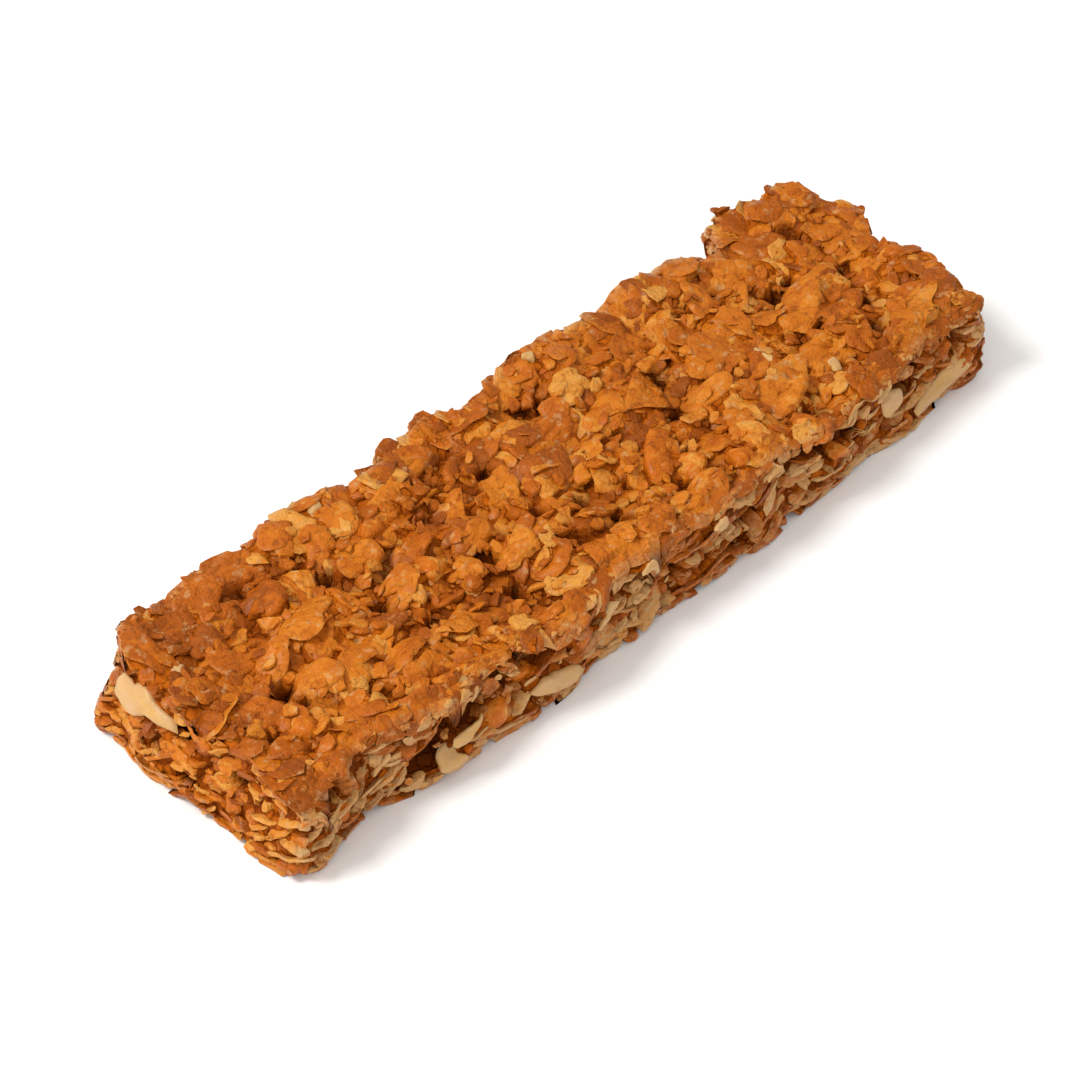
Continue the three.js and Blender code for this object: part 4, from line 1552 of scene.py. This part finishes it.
class GRANOLA_OT_oats(bpy.types.Operator):
    """Lays the rolled oats on the underside, round the sides and over the top"""

    bl_idname = "granola.oats"
    bl_label = "Lay Rolled Oats"

    def execute(self, context):
        sizes, slab = context.scene.granola_sizes, slab_of(context)
        under = lay_underside(slab, sizes)
        sides = together([lay_sides(slab, sizes), lay_flat_on_sides(slab, sizes)])
        top, placed = lay_top(slab, sizes)
        slab.laid += [under, sides, top, placed]
        material = baked_oats(context.scene.granola_colours)
        for name, least, most in BAKES:
            parts = []
            for pieces, disc in ((under, PLAIN), (sides, PLAIN), (top, MIDDLING), (placed, FINE)):
                shown = (pieces["toast"] >= least) & (pieces["toast"] < most)
                parts.append((chosen(pieces, shown), disc))
            new_object(name, joined_mesh(name, parts, slab.outline), material, crease=40)
        return {"FINISHED"}


class GRANOLA_OT_crisps(bpy.types.Operator):
    """Adds the round glazed crisps"""

    bl_idname = "granola.crisps"
    bl_label = "Add Crisps"

    def execute(self, context):
        slab = slab_of(context)
        crisps = lay_crisps(slab)
        slab.laid.append(crisps)
        mesh = joined_mesh("grain_crisps", [(crisps, PLAIN)], slab.outline)
        new_object("grain_crisps", mesh, glazed_crisps(context.scene.granola_colours))
        return {"FINISHED"}


class GRANOLA_OT_nuts(bpy.types.Operator):
    """Adds the almond slivers"""

    bl_idname = "granola.nuts"
    bl_label = "Add Nut Slivers"

    def execute(self, context):
        slab = slab_of(context)
        nuts = lay_nuts(slab)
        slab.laid.append(nuts)
        mesh = joined_mesh("nut_slivers", [(nuts, FINE)], slab.outline)
        new_object("nut_slivers", mesh, almond(context.scene.granola_colours), crease=40)
        return {"FINISHED"}


class GRANOLA_OT_syrup(bpy.types.Operator):
    """Runs the syrup between all the pieces laid so far"""

    bl_idname = "granola.syrup"
    bl_label = "Pour Syrup"

    def execute(self, context):
        slab = slab_of(context)
        if not slab.laid:
            raise RuntimeError("lay the oats before the syrup")
        mesh = syrup_mesh(slab, context.scene.granola_sizes.syrup_detail)
        piece = new_object("syrup_core", mesh, caramel_syrup(context.scene.granola_colours))
        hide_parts(BAR)
        return {"FINISHED"}


class GRANOLA_OT_crumbs(bpy.types.Operator):
    """Strews the crumbs"""

    bl_idname = "granola.crumbs"
    bl_label = "Strew Crumbs"

    def execute(self, context):
        slab = slab_of(context)
        crumbs = lay_crumbs(slab, context.scene.granola_sizes)
        mesh = joined_mesh("oat_crumbs", [(crumbs, SMALL)], slab.outline)
        new_object("oat_crumbs", mesh, bpy.data.materials["baked_rolled_oats"], crease=25)
        return {"FINISHED"}


def aim(thing, spot, azimuth, elevation, distance):
    """Puts a camera or a lamp at a distance from a spot, looking at it. Azimuth 0 degrees is along +Y."""
    turn, rise = math.radians(azimuth), math.radians(elevation)
    back = Vector((math.sin(turn) * math.cos(rise), -math.cos(turn) * math.cos(rise), math.sin(rise)))
    thing.location = Vector(spot) + back * distance
    thing.rotation_euler = back.to_track_quat("Z", "Y").to_euler()


LENS = 105  # mm, on a 36 mm sensor
VIEW = (-47.1, 42.4, 308.2 * MM)  # azimuth, elevation and distance of the camera
LOOKED_AT = (-7.78 * MM, -2.69 * MM, 4.7 * MM)
FLOOR_HALF = 1.5  # m

# Soft lamps: name, azimuth, elevation, distance and size in m, and power in W.
LAMPS = (
    ("key", -122, 52, 0.60, 0.22, 2.6),
    ("fill", -60, 35, 0.70, 0.60, 0.7),
)
SKY = 0.84  # strength of the even light all round
SKY_IN_GLAZE = 0.15  # and how strongly it is mirrored


class GRANOLA_OT_stage(bpy.types.Operator):
    """Sets up the floor, the soft light and the camera"""

    bl_idname = "granola.stage"
    bl_label = "Set the Stage"

    def execute(self, context):
        scene = context.scene
        corners = [(x * FLOOR_HALF, y * FLOOR_HALF, 0) for x, y in ((-1, -1), (1, -1), (1, 1), (-1, 1))]
        mesh = bpy.data.meshes.new("floor")
        mesh.from_pydata(corners, [], [(0, 1, 2, 3)])
        mesh.materials.append(studio_floor(scene.granola_colours))
        floor = bpy.data.objects.new("floor", mesh)
        scene.collection.objects.link(floor)
        for name, azimuth, elevation, distance, size, power in LAMPS:
            light = bpy.data.lights.new(name, "AREA")
            light.shape = "DISK"
            light.size = size
            light.energy = power
            lamp = bpy.data.objects.new(name, light)
            aim(lamp, (0, 0, 0), azimuth, elevation, distance)
            scene.collection.objects.link(lamp)
        world = bpy.data.worlds.new("studio")
        world.use_nodes = True
        tree = world.node_tree
        tree.nodes.clear()
        mirrored = node(tree, "ShaderNodeLightPath").outputs["Is Glossy Ray"]
        inputs = {"Color": (1, 1, 1, 1), "Strength": between(tree, mirrored, 0.0, 1.0, SKY, SKY_IN_GLAZE)}
        sky = node(tree, "ShaderNodeBackground", inputs)
        node(tree, "ShaderNodeOutputWorld", {"Surface": sky.outputs[0]})
        scene.world = world
        camera = bpy.data.objects.new("camera", bpy.data.cameras.new("camera"))
        camera.data.lens = LENS
        camera.data.sensor_fit = "HORIZONTAL"
        camera.data.clip_start = 0.01
        aim(camera, LOOKED_AT, *VIEW)
        scene.collection.objects.link(camera)
        scene.camera = camera
        scene.view_settings.view_transform = "Standard"
        return {"FINISHED"}


class GRANOLA_PT_panel(bpy.types.Panel):
    """Lists the sizes, the colours and the steps of making a granola bar"""

    bl_idname = "GRANOLA_PT_panel"
    bl_label = "Granola Bar"
    bl_space_type = "VIEW_3D"
    bl_region_type = "UI"
    bl_category = "Granola Bar"

    def draw(self, context):
        for group in (context.scene.granola_sizes, context.scene.granola_colours):
            for name in type(group).__annotations__:
                self.layout.prop(group, name)
        for operator in STEPS:
            self.layout.operator(operator.bl_idname)


STEPS = (
    GRANOLA_OT_oats, GRANOLA_OT_crisps, GRANOLA_OT_nuts, GRANOLA_OT_syrup, GRANOLA_OT_crumbs,
    GRANOLA_OT_stage,
)
CLASSES = (GranolaSizes, GranolaColours, *STEPS, GRANOLA_PT_panel)


def register():
    for cls in CLASSES:
        bpy.utils.register_class(cls)
    bpy.types.Scene.granola_sizes = PointerProperty(type=GranolaSizes)
    bpy.types.Scene.granola_colours = PointerProperty(type=GranolaColours)


def unregister():
    del bpy.types.Scene.granola_colours
    del bpy.types.Scene.granola_sizes
    for cls in reversed(CLASSES):
        bpy.utils.unregister_class(cls)


def main():
    register()
    bpy.ops.granola.oats()
    bpy.ops.granola.crisps()
    bpy.ops.granola.nuts()
    bpy.ops.granola.syrup()
    bpy.ops.granola.crumbs()
    bpy.ops.granola.stage()


if __name__ == "__main__":
    main()
